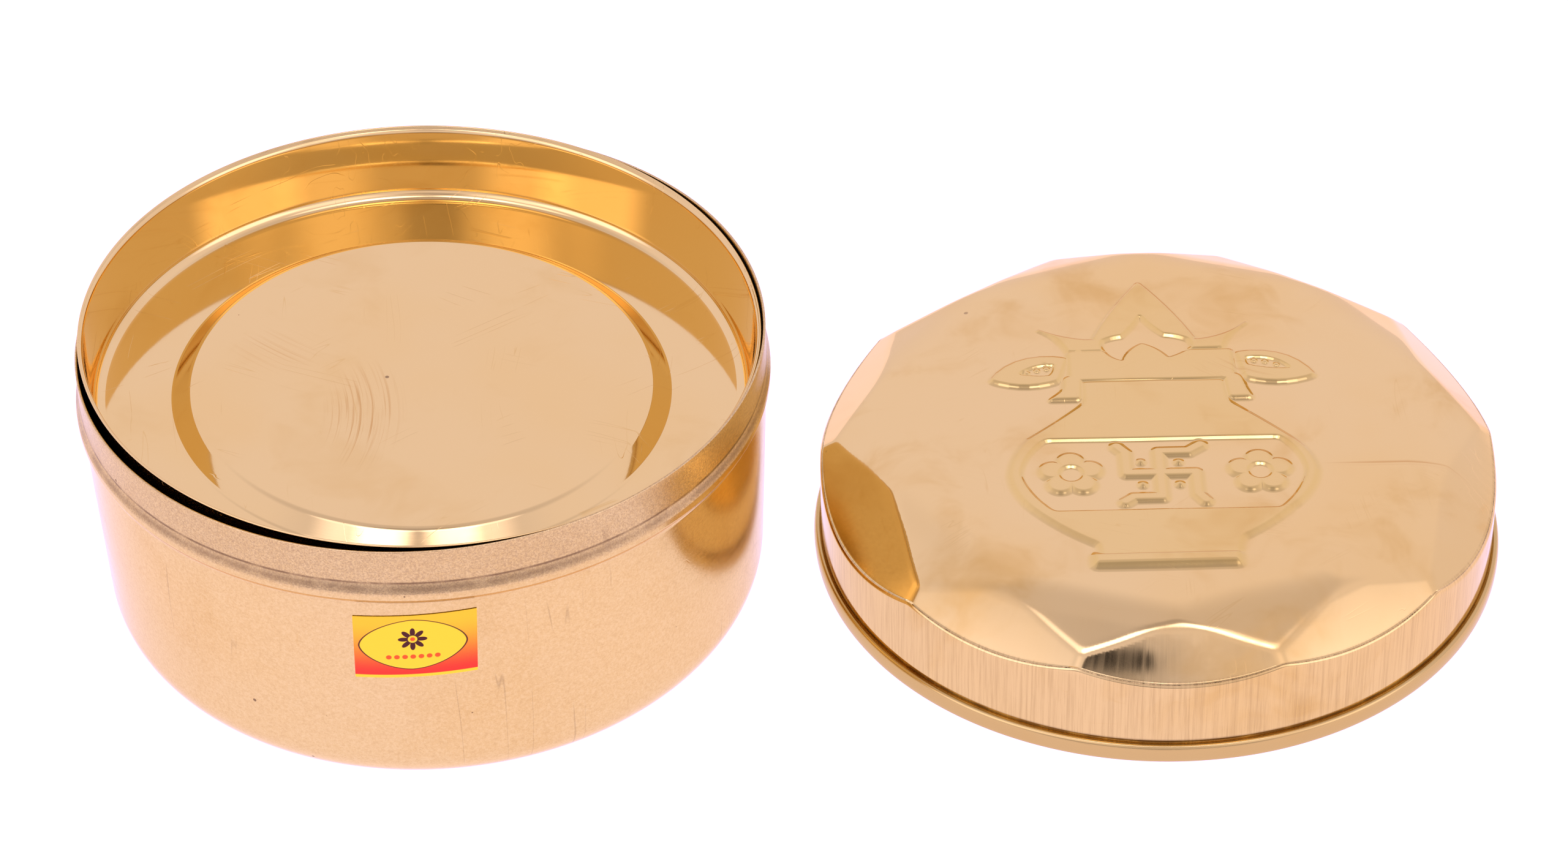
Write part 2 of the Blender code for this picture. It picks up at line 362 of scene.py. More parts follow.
class BrassPainter:
    """Lays out the nodes of one brass finish, round its piece's axis."""

    FINE_GRAIN = 2000.0

    def __init__(self, look: BrassFinish, wiring: Wiring) -> None:
        """Works out what several parts of the finish read.

        Args:
            look: The finish.
            wiring: Its material's tree.
        """
        self.look, self.wiring = look, wiring
        self.local = wiring.take("ShaderNodeTexCoord", output="Object", vector=True) - (*look.centre, 0.0)
        self.height = self.local.parts()[2]
        self.reach, self.way = (self.local * LEVEL).length(), (self.local * LEVEL).unit()
        bent = self.local + self._wander(self.local, 40.0) * 0.03
        self.stain = bent.noise(26.0, 4.0, 0.6).band(0.50, 0.76, 0.0, look.stains)
        self.speck = self._speck()
        self.scratch = self._scratch()

    def color(self) -> Signal:
        """Lays clouds, stains, marks, pits and painted shade over the brass tone.

        Returns:
            The colour.
        """
        look = self.look
        cloud = self.local.noise(15.0, 3.0).band(0.38, 0.68, 0.0, look.warmth)
        relief = self.wiring.take("ShaderNodeAttribute", output="Fac", attribute_name="relief")
        # The relief share paints shade on the emblem's slopes, and an ochre tint of old polish on its raised parts.
        layers = [(cloud, look.warm), (relief * 0.75, look.patina_and_slope_shade), (self.stain, look.ochre),
                  (self.scratch * 0.5, look.ochre)]
        if look.mottle:
            grit = self.local.noise(1000.0, 3.0, 0.7)
            layers += [(grit.band(0.50, 0.32, 0.0, look.mottle), look.shade),
                       (grit.band(0.46, 0.66, 0.0, look.mottle), look.gleam)]
        if look.hairlines:
            layers.append((self._hairline(), look.tarnish_and_crease_shade))
        if look.streaks:
            layers.append((self._streaked(), look.stroke))
        if look.speckle:
            layers.append((self._speckled(), look.grit))
        # Painted shade: dark lines in the creases.
        layers += [(self._crease_shade(crease_line), look.tarnish_and_crease_shade) for crease_line in look.crease_shades]
        layers += [(self._rubbed(rub), look.rub) for rub in look.rubs]
        return self.wiring.layered(look.tone, layers + [(self.speck, look.tarnish_and_crease_shade)])

    def roughness(self) -> Signal:
        """Varies the gloss with the grain, the handling and the wear.

        Returns:
            The roughness, between 0 and 1.
        """
        look = self.look
        handled = self.local.noise(34.0, 3.0, 0.6)
        drawn = self._drawn(12.0, 700.0).noise(1.0, 3.0, 0.6)
        total = (handled + drawn - 1.0) * (2.0 * look.rough_spread)
        total = total + (self.stain * 0.25 + self.scratch * 0.15) + look.roughness
        if look.speckle:
            total = total + self._matt_share() * look.matt
        return self.wiring.math("ADD", total, self.speck * 0.3, clamp=True)

    def normal(self) -> Signal:
        """Raises the tool marks and the matt grain, and sinks the scratches and pits.

        Returns:
            The bumped normal.
        """
        look = self.look
        height = self._drawn(10.0, 1.0 / look.grain_width).noise(1.0, 3.0, 0.65) * look.grain_height
        height = height - self.scratch * 0.00002 - self.speck * 0.00005
        if look.speckle:
            height = height + self.local.noise(self.FINE_GRAIN, 3.0, 0.75) * 0.00004 * self._matt_share()
        return self.wiring.bump(height)

    def _drawn(self, along: float, across: float) -> Signal:
        """Stretches the position so that noise on it runs with the grain.

        Args:
            along: How fast the noise changes with the grain.
            across: How fast it changes across the grain.

        Returns:
            The stretched position.
        """
        if self.look.grain is Grain.BRUSHED:
            along, across = across, along
        return self.way * (along * 0.09) + self.wiring.point(z=(self.height - self.reach) * across)

    def _wander(self, place: Signal, scale: float) -> Signal:
        """Gives a smooth random vector about zero."""
        inputs = {"Vector": place, "Scale": scale, "Detail": 1.0}
        return self.wiring.take("ShaderNodeTexNoise", inputs, "Color", True) - HALF

    def _speck(self) -> Signal:
        """Gives a few small dark pits, of uneven sizes.

        Returns:
            The share of the pits' colour.
        """
        look = self.look
        cells = self.wiring.node("ShaderNodeTexVoronoi", {"Vector": self.local, "Scale": look.speck_scale})
        chosen = self.wiring.take("ShaderNodeSeparateColor", {0: cells.outputs["Color"]}).band(0.80, 1.0)
        inside = chosen * look.speck_size - Signal(self.wiring, cells.outputs["Distance"])
        return inside.band(0.0, 0.03, 0.0, look.specks)

    def _scratch(self) -> Signal:
        """Gives fine scratches in a few directions, each broken into short lengths.

        Returns:
            The share of the scratches.
        """
        total = None
        for turn, bend in ((0.35, 9.0), (1.5, 14.0), (2.5, 11.0)):
            turned = self.wiring.turned(self.local, turn)
            bent = turned + self._wander(turned, bend) * 0.02
            thin = abs((bent * (6.0, 210.0, 90.0)).noise(1.0, 1.0) - 0.5)
            here = turned.noise(33.0 + bend, 1.0).band(0.60, 0.68)
            line = thin.band(0.0, 0.006, 1.0, 0.0) * here
            total = line if total is None else self.wiring.math("MAXIMUM", total, line)
        return total * self.look.scratches

    def _hairline(self) -> Signal:
        """Gives a few thin lines that run down the wall, each broken into short lengths.

        Returns:
            The share of the lines' colour.
        """
        lines = (self.way * 9.0 + self.wiring.point(z=self.height * 5.0)).noise(1.0, 2.0)
        here = self.local.noise(30.0, 1.0).band(0.54, 0.62)
        return abs(lines - 0.5).band(0.0, 0.008, self.look.hairlines, 0.0) * here

    def _streaked(self) -> Signal:
        """Gives the coarse brush strokes that run up and down the skirt.

        Returns:
            The share of the strokes' colour.
        """
        look = self.look
        fine = self._drawn(30.0, 1400.0).noise(1.0, 4.0, 0.75).band(0.40, 0.72, 0.18, 1.0)
        side = self.reach.band(look.streaks_beyond - 0.4 * MM, look.streaks_beyond)
        below = self.height.band(look.streaks_below, look.streaks_below - 3.0 * MM, 0.0, look.streaks)
        return fine * below * side

    def _speckled(self) -> Signal:
        """Gives the dark grit of the matt neck."""
        grit = self.local.noise(self.FINE_GRAIN, 3.0, 0.75).band(0.32, 0.66, 1.0, 0.0)
        return (grit * 0.75 + 0.25) * self._matt_share() * self.look.speckle

    def _matt_share(self) -> Signal:
        """Gives how matt the surface is: most of all on its outer side, over a height.

        Returns:
            A share between 0 and 1.
        """
        top, beyond = self.look.speckle_from, self.look.speckle_beyond
        upper = self.height.band(top - 1.2 * MM, top, 0.0, 0.74)
        lower = self.height.band(top - 22.0 * MM, top, 0.20, 0.26)
        return (upper + lower) * self.reach.band(beyond - 0.3 * MM, beyond)

    def _crease_shade(self, crease_line: CreaseShade) -> Signal:
        """Gives one line of painted shade along a crease, broken up by noise."""
        patchy = self.local.noise(140.0, 3.0).band(0.25, 0.6, 0.35, 1.0)
        return abs(self.height - crease_line.height).band(0.0, crease_line.width, crease_line.strength, 0.0) * patchy

    def _rubbed(self, rub: Rub) -> Signal:
        """Gives one patch of curved rub marks.

        Args:
            rub: Where the patch lies.

        Returns:
            The share of the marks' colour.
        """
        away = (self.local - (*rub.pivot, 0.0)) * LEVEL
        lift = self.wiring.point(z=away.length() * 1300.0)
        lines = (away.unit() * 1.2 + lift).noise(1.0, 3.0, 0.7).band(0.50, 0.66)
        off = (self.local - (*rub.middle, 0.0)) * (1.0 / rub.reach[0], 1.0 / rub.reach[1], 0.0)
        return lines * off.length().band(0.2, 1.0, 1.0, 0.0) * rub.strength


@dataclass(frozen=True)
class PaperFinish:
    """Printed glossy paper: a warm fade, a pale lozenge with a rosette and beads, and a thin border below."""

    name: str
    light: Color = (0.95, 0.52, 0.015, 1.0)
    dark: Color = (0.90, 0.035, 0.012, 1.0)
    field: Color = (0.95, 0.62, 0.02, 1.0)
    ink: Color = (0.07, 0.01, 0.003, 1.0)
    accent: Color = (0.78, 0.09, 0.008, 1.0)
    aspect: float = 1.5
    border: float = 0.05
    roughness: float = 0.4
    pitch: float = 0.066

    def material(self) -> bpy.types.Material:
        """Builds the print on the label's own UV map.

        Returns:
            A material whose colours follow the label.
        """
        made, wiring, shader = fresh_material(self.name, self.light)
        place = wiring.take("ShaderNodeUVMap", vector=True, uv_map="UVMap")
        across, along, _ = place.parts()
        fibre = place.noise(60.0, 3.0)
        layers = [((along + (fibre - 0.5) * 0.08).band(0.05, 0.95), self.light),
                  (along.band(self.border, self.border - 0.01), self.field)]
        layers += self._lozenge(across, along) + self._rosette(place) + self._beads(across, along)
        wiring.fill(shader, {"Base Color": wiring.layered(self.dark, layers), "Roughness": self.roughness,
                             "Normal": wiring.bump(fibre * 0.00002, 0.6), "Specular IOR Level": 0.15})
        return made

    def _lozenge(self, across: Signal, along: Signal) -> list[tuple[Signal, Color]]:
        """Draws the pale lozenge with its thin outline, over the label's width and height."""
        reach = abs((across - 0.48) / 0.44) ** 1.7 + abs((along - 0.53) / 0.40) ** 1.7
        return [(reach.band(1.04, 1.0), self.ink), (reach.band(0.985, 0.95), self.field)]

    def _rosette(self, place: Signal) -> list[tuple[Signal, Color]]:
        """Draws the rosette of eight petals.

        Args:
            place: The position on the label.

        Returns:
            Its petals, its ring and its middle.
        """
        off = (place - (0.48, 0.62, 0.0)) * (self.aspect, 1.0, 0.0)
        x, y, _ = off.parts()
        wiring, reach = place.wiring, off.length()
        wave = abs(wiring.math("COSINE", wiring.math("ARCTAN2", y, x) * 4.0))
        petals = (wave * 0.11 + 0.075 - reach).band(0.0, 0.012)
        return [(petals, self.ink), (reach.band(0.062, 0.052), self.field), (reach.band(0.036, 0.026), self.accent)]

    def _beads(self, across: Signal, along: Signal) -> list[tuple[Signal, Color]]:
        """Draws a short row of beads under the rosette.

        Args:
            across: The place over the label's width.
            along: The place over its height.

        Returns:
            The beads.
        """
        wiring, shifted = across.wiring, (across - 0.48) / self.pitch
        off = (wiring.math("FRACT", shifted + 20.5) - 0.5) * (self.pitch * self.aspect)
        bead = wiring.point(off, along - 0.335).length().band(0.040, 0.030)
        return [(bead * wiring.math("LESS_THAN", abs(shifted), 3.5), self.accent)]


@dataclass(frozen=True)
class Bend:
    """One corner of a sheet's outline: its distance from the axis, its height, and how widely it is rounded."""

    radius: float
    height: float
    rounding: float = 0.0


class SheetOutline:
    """The outline of a spun sheet: down its outer side to the axis, and back up its inner side."""

    TURN = math.radians(6)
    SHOULDER = 0.00015
    STRIDE = 0.003
    RIM_TURNS = (90, 67.5, 45, 22.5, 157.5, 135, 112.5, 90)

    def __init__(self, bends: Sequence[Bend], thickness: float) -> None:
        """Takes the corners of the outer side, from the rim to the axis, and the sheet's gauge."""
        self.bends, self.thickness = list(bends), thickness

    def outer(self) -> Outline:
        """Rounds the corners of the outer side.

        Returns:
            Points from the rim to the axis.
        """
        points = [Vector((self.bends[0].radius, self.bends[0].height))]
        for before, bend, after in zip(self.bends, self.bends[1:], self.bends[2:]):
            corner = Vector((bend.radius, bend.height))
            back = (Vector((before.radius, before.height)) - corner).normalized()
            ahead = (Vector((after.radius, after.height)) - corner).normalized()
            turn = math.pi - back.angle(ahead)
            if bend.rounding <= 0.0 or turn < 0.01:
                points.append(corner)
                continue
            reach = bend.rounding * math.tan(turn / 2)
            centre = corner + (back + ahead).normalized() * math.hypot(reach, bend.rounding)
            first, last = corner + back * reach, corner + ahead * reach
            steps = max(3, math.ceil(turn / self.TURN))
            points.append(first + back * self.SHOULDER)
            start = (first - centre).angle_signed(last - centre)
            for step in range(steps + 1):
                arm = first - centre
                arm.rotate(Matrix.Rotation(-start * step / steps, 2))
                points.append(centre + arm)
            points.append(last + ahead * self.SHOULDER)
        points.append(Vector((self.bends[-1].radius, self.bends[-1].height)))
        return [(point.x, point.y) for point in self._filled(points)]

    def _filled(self, points: list[Vector]) -> list[Vector]:
        """Divides the long straight runs, so that a hand-made waver has points to move."""
        filled = [points[0]]
        for before, after in zip(points, points[1:]):
            count = max(1, math.ceil((after - before).length / self.STRIDE))
            filled += [before.lerp(after, step / count) for step in range(1, count + 1)]
        return filled

    def closed(self) -> Outline:
        """Adds the inner side and a rounded rim to the outer side.

        Returns:
            Points from the rim's top, down the outer side, to the axis and up the inner side.
        """
        outer = [Vector(point) for point in self.outer()]
        inner = []
        for index, point in enumerate(outer):
            along = (outer[min(index + 1, len(outer) - 1)] - outer[max(index - 1, 0)]).normalized()
            if index == len(outer) - 1:
                along = Vector((-1.0, 0.0))
            inner.append(point + Vector((along.y, -along.x)) * self.thickness)
        middle, half = (outer[0] + inner[0]) / 2, self.thickness / 2
        rim = [middle + Vector((half * math.cos(turn), half * math.sin(turn)))
               for turn in map(math.radians, self.RIM_TURNS)]
        back = [Vector((max(point.x, 0.0), point.y)) for point in reversed(inner)]
        return [(point.x, point.y) for point in rim[:4] + outer + back + rim[4:]]


class SpinTree:
    """A Geometry Nodes tree that spins an outline round Z and lets it waver a little, as hand work does."""

    FULL_TURN = 2 * math.pi
    INPUTS = {"Outline": "Geometry", "Sides": "Int", "Waver": "Float", "Waves per metre": "Float", "Seed": "Int",
              "Finish": "Material"}

    def __init__(self) -> None:
        """Builds the tree once."""
        self.tree = bpy.data.node_groups.new("spin_outline", "GeometryNodeTree")
        sockets = self.tree.interface
        self.ids = {label: sockets.new_socket(name=label, in_out="INPUT", socket_type="NodeSocket" + kind).identifier
                    for label, kind in self.INPUTS.items()}
        sockets.new_socket(name="Spun", in_out="OUTPUT", socket_type="NodeSocketGeometry")
        self._fill(Wiring(self.tree))

    def _fill(self, wiring: Wiring) -> None:
        """Lays out the nodes: a grid whose columns are copies of the outline, turned round Z.

        Args:
            wiring: The wiring on the tree.
        """
        given = wiring.node("NodeGroupInput").outputs
        sides, waver = Signal(wiring, given["Sides"]), Signal(wiring, given["Waver"])
        rows = wiring.take("GeometryNodeAttributeDomainSize", {0: given["Outline"]}, "Point Count")
        grid = wiring.take("GeometryNodeMeshGrid", {"Vertices X": sides + 1.0, "Vertices Y": rows}, "Mesh")
        index = wiring.take("GeometryNodeInputIndex")
        column = wiring.math("FLOOR", index / rows)
        place = wiring.take("GeometryNodeInputPosition", vector=True)
        sample = wiring.node("GeometryNodeSampleIndex", {"Geometry": given["Outline"], "Index": index - column * rows},
                             data_type="FLOAT_VECTOR", domain="POINT")
        self.tree.links.new(place.socket, next(s for s in sample.inputs if s.name == "Value" and s.enabled))
        turned = wiring.turned(next(s for s in sample.outputs if s.enabled), column / sides * self.FULL_TURN)
        field = wiring.take("ShaderNodeTexNoise", {"Vector": place, "W": given["Seed"], "Detail": 1.0,
                                                   "Scale": given["Waves per metre"]}, "Color", True,
                            noise_dimensions="4D")
        steps = (("SetPosition", {"Position": turned}), ("SetPosition", {"Offset": (field - HALF) * waver}),
                 ("MergeByDistance", {"Distance": WELD}), ("SetShadeSmooth", {}), ("RealizeInstances", {}),
                 ("SetMaterial", {"Material": given["Finish"]}))
        mesh = grid
        for kind, inputs in steps:
            mesh = wiring.take("GeometryNode" + kind, {"Geometry": mesh, **inputs})
        wiring.node("NodeGroupOutput", {0: mesh})

    def spin(self, name: str, outline: Outline, sides: int, finish: bpy.types.Material, waver: float,
             waves: float, seed: int) -> bpy.types.Object:
        """Spins one outline into a plain mesh.

        Args:
            name: The piece's name.
            outline: Points as distance from the axis and height.
            sides: The number of columns round the axis.
            finish: The material that the piece takes.
            waver: How far points may drift, in metres.
            waves: How many drifts there are in a metre.
            seed: Which drift to use.

        Returns:
            The piece, linked to the scene, with its place still to be set.
        """
        mesh = bpy.data.meshes.new(name)
        chain = [(index, index + 1) for index in range(len(outline) - 1)]
        mesh.from_pydata([(radius, 0.0, height) for radius, height in outline], chain, [])
        source = bpy.data.objects.new(name + "_outline", mesh)
        bpy.context.scene.collection.objects.link(source)
        modifier = source.modifiers.new("spin", "NODES")
        modifier.node_group = self.tree
        values = {"Sides": sides, "Waver": waver, "Waves per metre": waves, "Seed": seed, "Finish": finish}
        for label, value in values.items():
            modifier[self.ids[label]] = value
        spun = evaluated(source)
        bpy.data.objects.remove(source, do_unlink=True)
        bpy.data.meshes.remove(mesh)
        spun.name = name
        face_outwards(spun)
        return add_piece(name, spun, finish)


def evaluated(piece: bpy.types.Object) -> bpy.types.Mesh:
    """Gives a piece's mesh with its modifiers applied."""
    return bpy.data.meshes.new_from_object(piece.evaluated_get(bpy.context.evaluated_depsgraph_get()))


def finished(work: bmesh.types.BMesh, name: str, level: bool = True) -> bpy.types.Mesh:
    """Turns a mesh in the making into a plain mesh.

    Args:
        work: The mesh in the making, which is freed.
        name: The new mesh's name.
        level: Whether to make its faces agree first.

    Returns:
        The new mesh.
    """
    if level:
        bmesh.ops.recalc_face_normals(work, faces=work.faces[:])
    mesh = bpy.data.meshes.new(name)
    work.to_mesh(mesh)
    work.free()
    return mesh


def bridged(work: bmesh.types.BMesh) -> None:
    """Joins the two open rims of a mesh in the making."""
    bmesh.ops.bridge_loops(work, edges=[edge for edge in work.edges if len(edge.link_faces) == 1])


def face_outwards(mesh: bpy.types.Mesh) -> None:
    """Turns a closed mesh's faces outwards.

    Args:
        mesh: The mesh.
    """
    work = bmesh.new()
    work.from_mesh(mesh)
    if work.calc_volume(signed=True) < 0:
        bmesh.ops.reverse_faces(work, faces=work.faces[:])
    work.to_mesh(mesh)
    work.free()


def add_piece(name: str, mesh: bpy.types.Mesh, finish: bpy.types.Material) -> bpy.types.Object:
    """Puts a mesh in the scene as one smooth piece.

    Args:
        name: The piece's name.
        mesh: Its mesh, in metres.
        finish: The material that it takes.

    Returns:
        The new object, at the origin.
    """
    piece = bpy.data.objects.new(name, mesh)
    bpy.context.scene.collection.objects.link(piece)
    mesh.materials.clear()
    mesh.materials.append(finish)
    mesh.polygons.foreach_set("material_index", [0] * len(mesh.polygons))
    mesh.shade_smooth()
    return piece


def settle(piece: bpy.types.Object, body: str, node: str) -> None:
    """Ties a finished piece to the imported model.

    Args:
        piece: The finished piece.
        body: The body that it moves with.
        node: The node that it stands for.
    """
    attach(piece, body)
    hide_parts(node)
    LOG.info("%s rides on %s: %d faces", piece.name, body, len(piece.data.polygons))


def foot_of(node: str) -> Vector:
    """The middle of the lowest level of a node's box."""
    low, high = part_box(node)
    return Vector(((low.x + high.x) / 2, (low.y + high.y) / 2, low.z))


@dataclass(frozen=True)
class BoxBody:
    """The spun box: a straight neck over a shoulder bead, a tapering wall and a wide rounded foot."""

    finish: BrassFinish
    neck_radius: float = 95.3 * MM
    rim_height: float = 87.6 * MM
    neck_foot: float = 76.9 * MM
    bead_radius: float = 96.4 * MM
    bead_top: float = 73.9 * MM
    bead_foot: float = 71.9 * MM
    wall_top: float = 69.9 * MM
    wall_radius: float = 95.1 * MM
    wall_foot_radius: float = 92.3 * MM
    corner_radius: float = 15.0 * MM
    sheet: float = 0.7 * MM
    sides: int = 256

    def outline(self) -> SheetOutline:
        """Draws the box's outer side, from the rim to the axis.

        Returns:
            The box's outline.
        """
        bends = [Bend(self.neck_radius, self.rim_height - self.sheet / 2),
                 Bend(self.neck_radius, self.neck_foot, 2.2 * MM),
                 Bend(self.bead_radius, self.bead_top, 0.8 * MM),
                 Bend(self.bead_radius, self.bead_foot, 0.9 * MM),
                 Bend(self.wall_radius, self.wall_top, 4.0 * MM),
                 Bend(self.wall_radius - 0.7 * MM, 50.0 * MM, 60.0 * MM),
                 Bend(self.wall_foot_radius, 0.0, self.corner_radius),
                 Bend(0.0, 0.0)]
        return SheetOutline(bends, self.sheet)

    def build(self, tree: SpinTree) -> None:
        """Spins the box and ties it to the model.

        Args:
            tree: The tree that spins it.
        """
        piece = tree.spin("box_shell", self.outline().closed(), self.sides, self.finish.material(),
                          waver=0.10 * MM, waves=18.0, seed=3)
        piece.data.transform(Matrix.Translation(foot_of("box_body")))
        settle(piece, "box", "box_body")


@dataclass(frozen=True)
class InnerPlate:
    """The dished plate that closes the box, seated a little out of level in its mouth."""

    finish: BrassFinish
    lip_radius: float = 94.1 * MM
    wall_radius: float = 93.2 * MM
    wall_foot_radius: float = 91.6 * MM
    lip_depth: float = 1.1 * MM
    floor_depth: float = 23.2 * MM
    fillet: float = 4.0 * MM
    step_foot: float = 69.3 * MM
    step_top: float = 63.9 * MM
    middle_depth: float = 19.0 * MM
    shift: float = 0.35 * MM
    lean: tuple[float, float] = (math.radians(0.5), math.radians(2.4))
    sheet: float = 0.6 * MM
    sides: int = 256

    def outline(self) -> SheetOutline:
        """Draws the plate's under side, from its lip to the axis, with the lip's level at height 0.

        Returns:
            The plate's outline.
        """
        under = -self.sheet
        bends = [Bend(self.lip_radius, under + 0.3 * MM),
                 Bend(self.wall_radius, under - self.lip_depth, 1.2 * MM),
                 Bend(self.wall_foot_radius, under - self.floor_depth, self.fillet),
                 Bend(self.step_foot, under - self.floor_depth, 2.4 * MM),
                 Bend(self.step_top, under - self.middle_depth, 2.4 * MM),
                 Bend(0.0, under - self.middle_depth)]
        return SheetOutline(bends, self.sheet)

    def build(self, tree: SpinTree) -> None:
        """Spins the plate, leans it and ties it to the model.

        Args:
            tree: The tree that spins it.
        """
        piece = tree.spin("plate_dish", self.outline().closed(), self.sides, self.finish.material(),
                          waver=0.12 * MM, waves=16.0, seed=8)
        lean = Euler((*self.lean, 0.0)).to_matrix()
        low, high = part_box("inner_plate")
        rise = self.lip_radius * math.hypot(lean[2][0], lean[2][1])
        place = Vector(((low.x + high.x) / 2 + self.shift, (low.y + high.y) / 2, high.z - rise))
        piece.data.transform(Matrix.Translation(place) @ lean.to_4x4())
        settle(piece, "plate", "inner_plate")


@dataclass(frozen=True)
class SpiceCup:
    """One small spun cup."""

    body: str
    node: str
    name: str
    rim_radius: float = 28.8 * MM
    foot_radius: float = 24.0 * MM
    height: float = 38.0 * MM
    corner: float = 6.0 * MM
    sheet: float = 0.6 * MM
    sides: int = 96

    def build(self, tree: SpinTree, finish: bpy.types.Material, seed: int) -> None:
        """Spins the cup and ties it to the model.

        Args:
            tree: The tree that spins it.
            finish: The material that all the cups share.
            seed: Which waver this cup has.
        """
        bends = [Bend(self.rim_radius, self.height - self.sheet / 2),
                 Bend(self.foot_radius, 0.0, self.corner),
                 Bend(0.0, 0.0)]
        outline = SheetOutline(bends, self.sheet).closed()
        piece = tree.spin(self.name, outline, self.sides, finish, waver=0.08 * MM, waves=30.0, seed=seed)
        piece.data.transform(Matrix.Translation(foot_of(self.node)))
        settle(piece, self.body, self.node)


@dataclass(frozen=True)
class Spoon:
    """The spice spoon, pressed from one strip, which leans in the middle cup."""

    finish: BrassFinish
    length: float = 70.0 * MM
    bowl_length: float = 24.0 * MM
    bowl_width: float = 17.0 * MM
    bowl_depth: float = 4.0 * MM
    stem_width: float = 4.0 * MM
    tail_width: float = 7.0 * MM
    least_width: float = 0.02 * MM
    sheet: float = 1.0 * MM
    lean: float = math.radians(40)
    turn: float = math.radians(28)
    rows: int = 140
    columns: int = 16

    def half_width(self, along: float) -> float:
        """Gives half the spoon's width at one place.

        Args:
            along: The distance from the tip of its bowl.

        Returns:
            Half the width there.
        """
        share = 2 * along / self.bowl_length - 1
        bowl = self.bowl_width / 2 * math.sqrt(max(1 - share * share, 0.0))
        tail = max((along - self.bowl_length) / (self.length - self.bowl_length), 0.0)
        stem = (self.stem_width + (self.tail_width - self.stem_width) * tail * tail) / 2
        to_end = max(self.length - along, 0.0)
        if to_end < stem:
            stem = math.sqrt(max(stem * stem - (stem - to_end) ** 2, 0.0))
        if along < self.bowl_length / 2:
            return max(bowl, self.least_width)
        return max((bowl**4 + stem**4) ** 0.25, self.least_width)

    def blade(self) -> bpy.types.Mesh:
        """Presses the strip.

        Returns:
            A sheet of no thickness along +X, from the tip of its bowl.
        """
        sheet = bmesh.new()
        grid = []
        for row in range(self.rows + 1):
            along = self.length * (1 - math.cos(math.pi * row / self.rows)) / 2
            share = min(2 * along / self.bowl_length - 1, 1.0)
            half = self.half_width(along)
            sides = [2 * column / self.columns - 1 for column in range(self.columns + 1)]
            depth = self.bowl_depth * max(1 - share * share, 0.0)
            grid.append([sheet.verts.new((along, half * side, -depth * (1 - side * side))) for side in sides])
        for before, after in zip(grid, grid[1:]):
            for column in range(self.columns):
                sheet.faces.new((before[column], after[column], after[column + 1], before[column + 1]))
        return finished(sheet, "spoon_blade")

    def build(self) -> None:
        """Thickens the strip, leans it and ties it to the model."""
        piece = add_piece("spoon_blade", self.blade(), self.finish.material())
        thick = piece.modifiers.new("sheet", "SOLIDIFY")
        thick.thickness = self.sheet
        thick.offset = 0.0
        solid = evaluated(piece)
        piece.modifiers.clear()
        piece.data = solid
        solid.transform(Euler((0.0, -self.lean, self.turn)).to_matrix().to_4x4())
        solid.set_sharp_from_angle(angle=SHARP)
        face_outwards(solid)
        spots = [vertex.co for vertex in solid.vertices]
        middle = Vector([(min(c[i] for c in spots) + max(c[i] for c in spots)) / 2 for i in range(3)])
        low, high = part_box("spoon")
        solid.transform(Matrix.Translation((low + high) / 2 - middle))
        settle(piece, "spice_spoon", "spoon")


def bowed(corners: Sequence[tuple[float, float]], bows: Sequence[float], steps: int = 7) -> np.ndarray:
    """Draws a closed shape whose sides bow outwards or inwards between its corners.

    Args:
        corners: The corners in order, anticlockwise for positive bows to swell.
        bows: The bow of each side, as a share of its length. Missing ones are straight.
        steps: The number of points along a bowed side.

    Returns:
        The shape's points.
    """
    points = []
    for index, start in enumerate(corners):
        end = corners[(index + 1) % len(corners)]
        bow = bows[index] if index < len(bows) else 0.0
        run = (end[0] - start[0], end[1] - start[1])
        count = steps if bow else 1
        for step in range(count):
            share = step / count
            lift = 4 * bow * share * (1 - share)
            points.append((start[0] + run[0] * share + run[1] * lift, start[1] + run[1] * share - run[0] * lift))
    return eased(np.array(points))


def eased(shape: np.ndarray, reach: float = 1.6, steps: int = 3) -> np.ndarray:
    """Rounds a closed shape's corners, and leaves its gentle turns alone.

    Args:
        shape: The shape's points in order.
        reach: How far from a corner its rounding may begin.
        steps: The number of points round a corner.

    Returns:
        The rounded shape's points.
    """
    points = []
    for before, corner, after in zip(np.roll(shape, 1, axis=0), shape, np.roll(shape, -1, axis=0)):
        back, ahead = before - corner, after - corner
        turn = back[0] * ahead[1] - back[1] * ahead[0]
        if abs(turn) < 0.3 * np.hypot(*back) * np.hypot(*ahead) and back @ ahead < 0:
            points.append(corner)
            continue
        first = corner + back * min(0.5, reach / max(np.hypot(*back), TINY))
        last = corner + ahead * min(0.5, reach / max(np.hypot(*ahead), TINY))
        for step in range(steps + 1):
            share = step / steps
            points.append(first * (1 - share) ** 2 + 2 * corner * share * (1 - share) + last * share**2)
    return np.array(points)


def squared_gap(points: np.ndarray, start: np.ndarray, run: np.ndarray) -> np.ndarray:
    """Measures how far points lie from one straight line.

    Args:
        points: The points, one a row.
        start: The line's first end.
        run: The way from there to its last end.

    Returns:
        The squares of the distances.
    """
    apart = points - start
    share = np.clip(apart @ run / max(run @ run, TINY), 0, 1)
    return ((apart - share[:, None] * run) ** 2).sum(axis=1)


def distance_to(points: np.ndarray, shape: np.ndarray) -> np.ndarray:
    """Measures how far points lie from a closed shape's edge.

    Args:
        points: The points, one a row.
        shape: The closed shape's points in order.

    Returns:
        The distances, negative inside the shape.
    """
    nearest = np.full(len(points), np.inf)
    inside = np.zeros(len(points), bool)
    for start, end in zip(shape, np.roll(shape, -1, axis=0)):
        run = end - start
        nearest = np.minimum(nearest, squared_gap(points, start, run))
        crosses = (start[1] > points[:, 1]) != (end[1] > points[:, 1])
        slope = run[0] / run[1] if abs(run[1]) > TINY else 0.0
        inside ^= crosses & (points[:, 0] < start[0] + (points[:, 1] - start[1]) * slope)
    return np.where(inside, -1.0, 1.0) * np.sqrt(nearest)


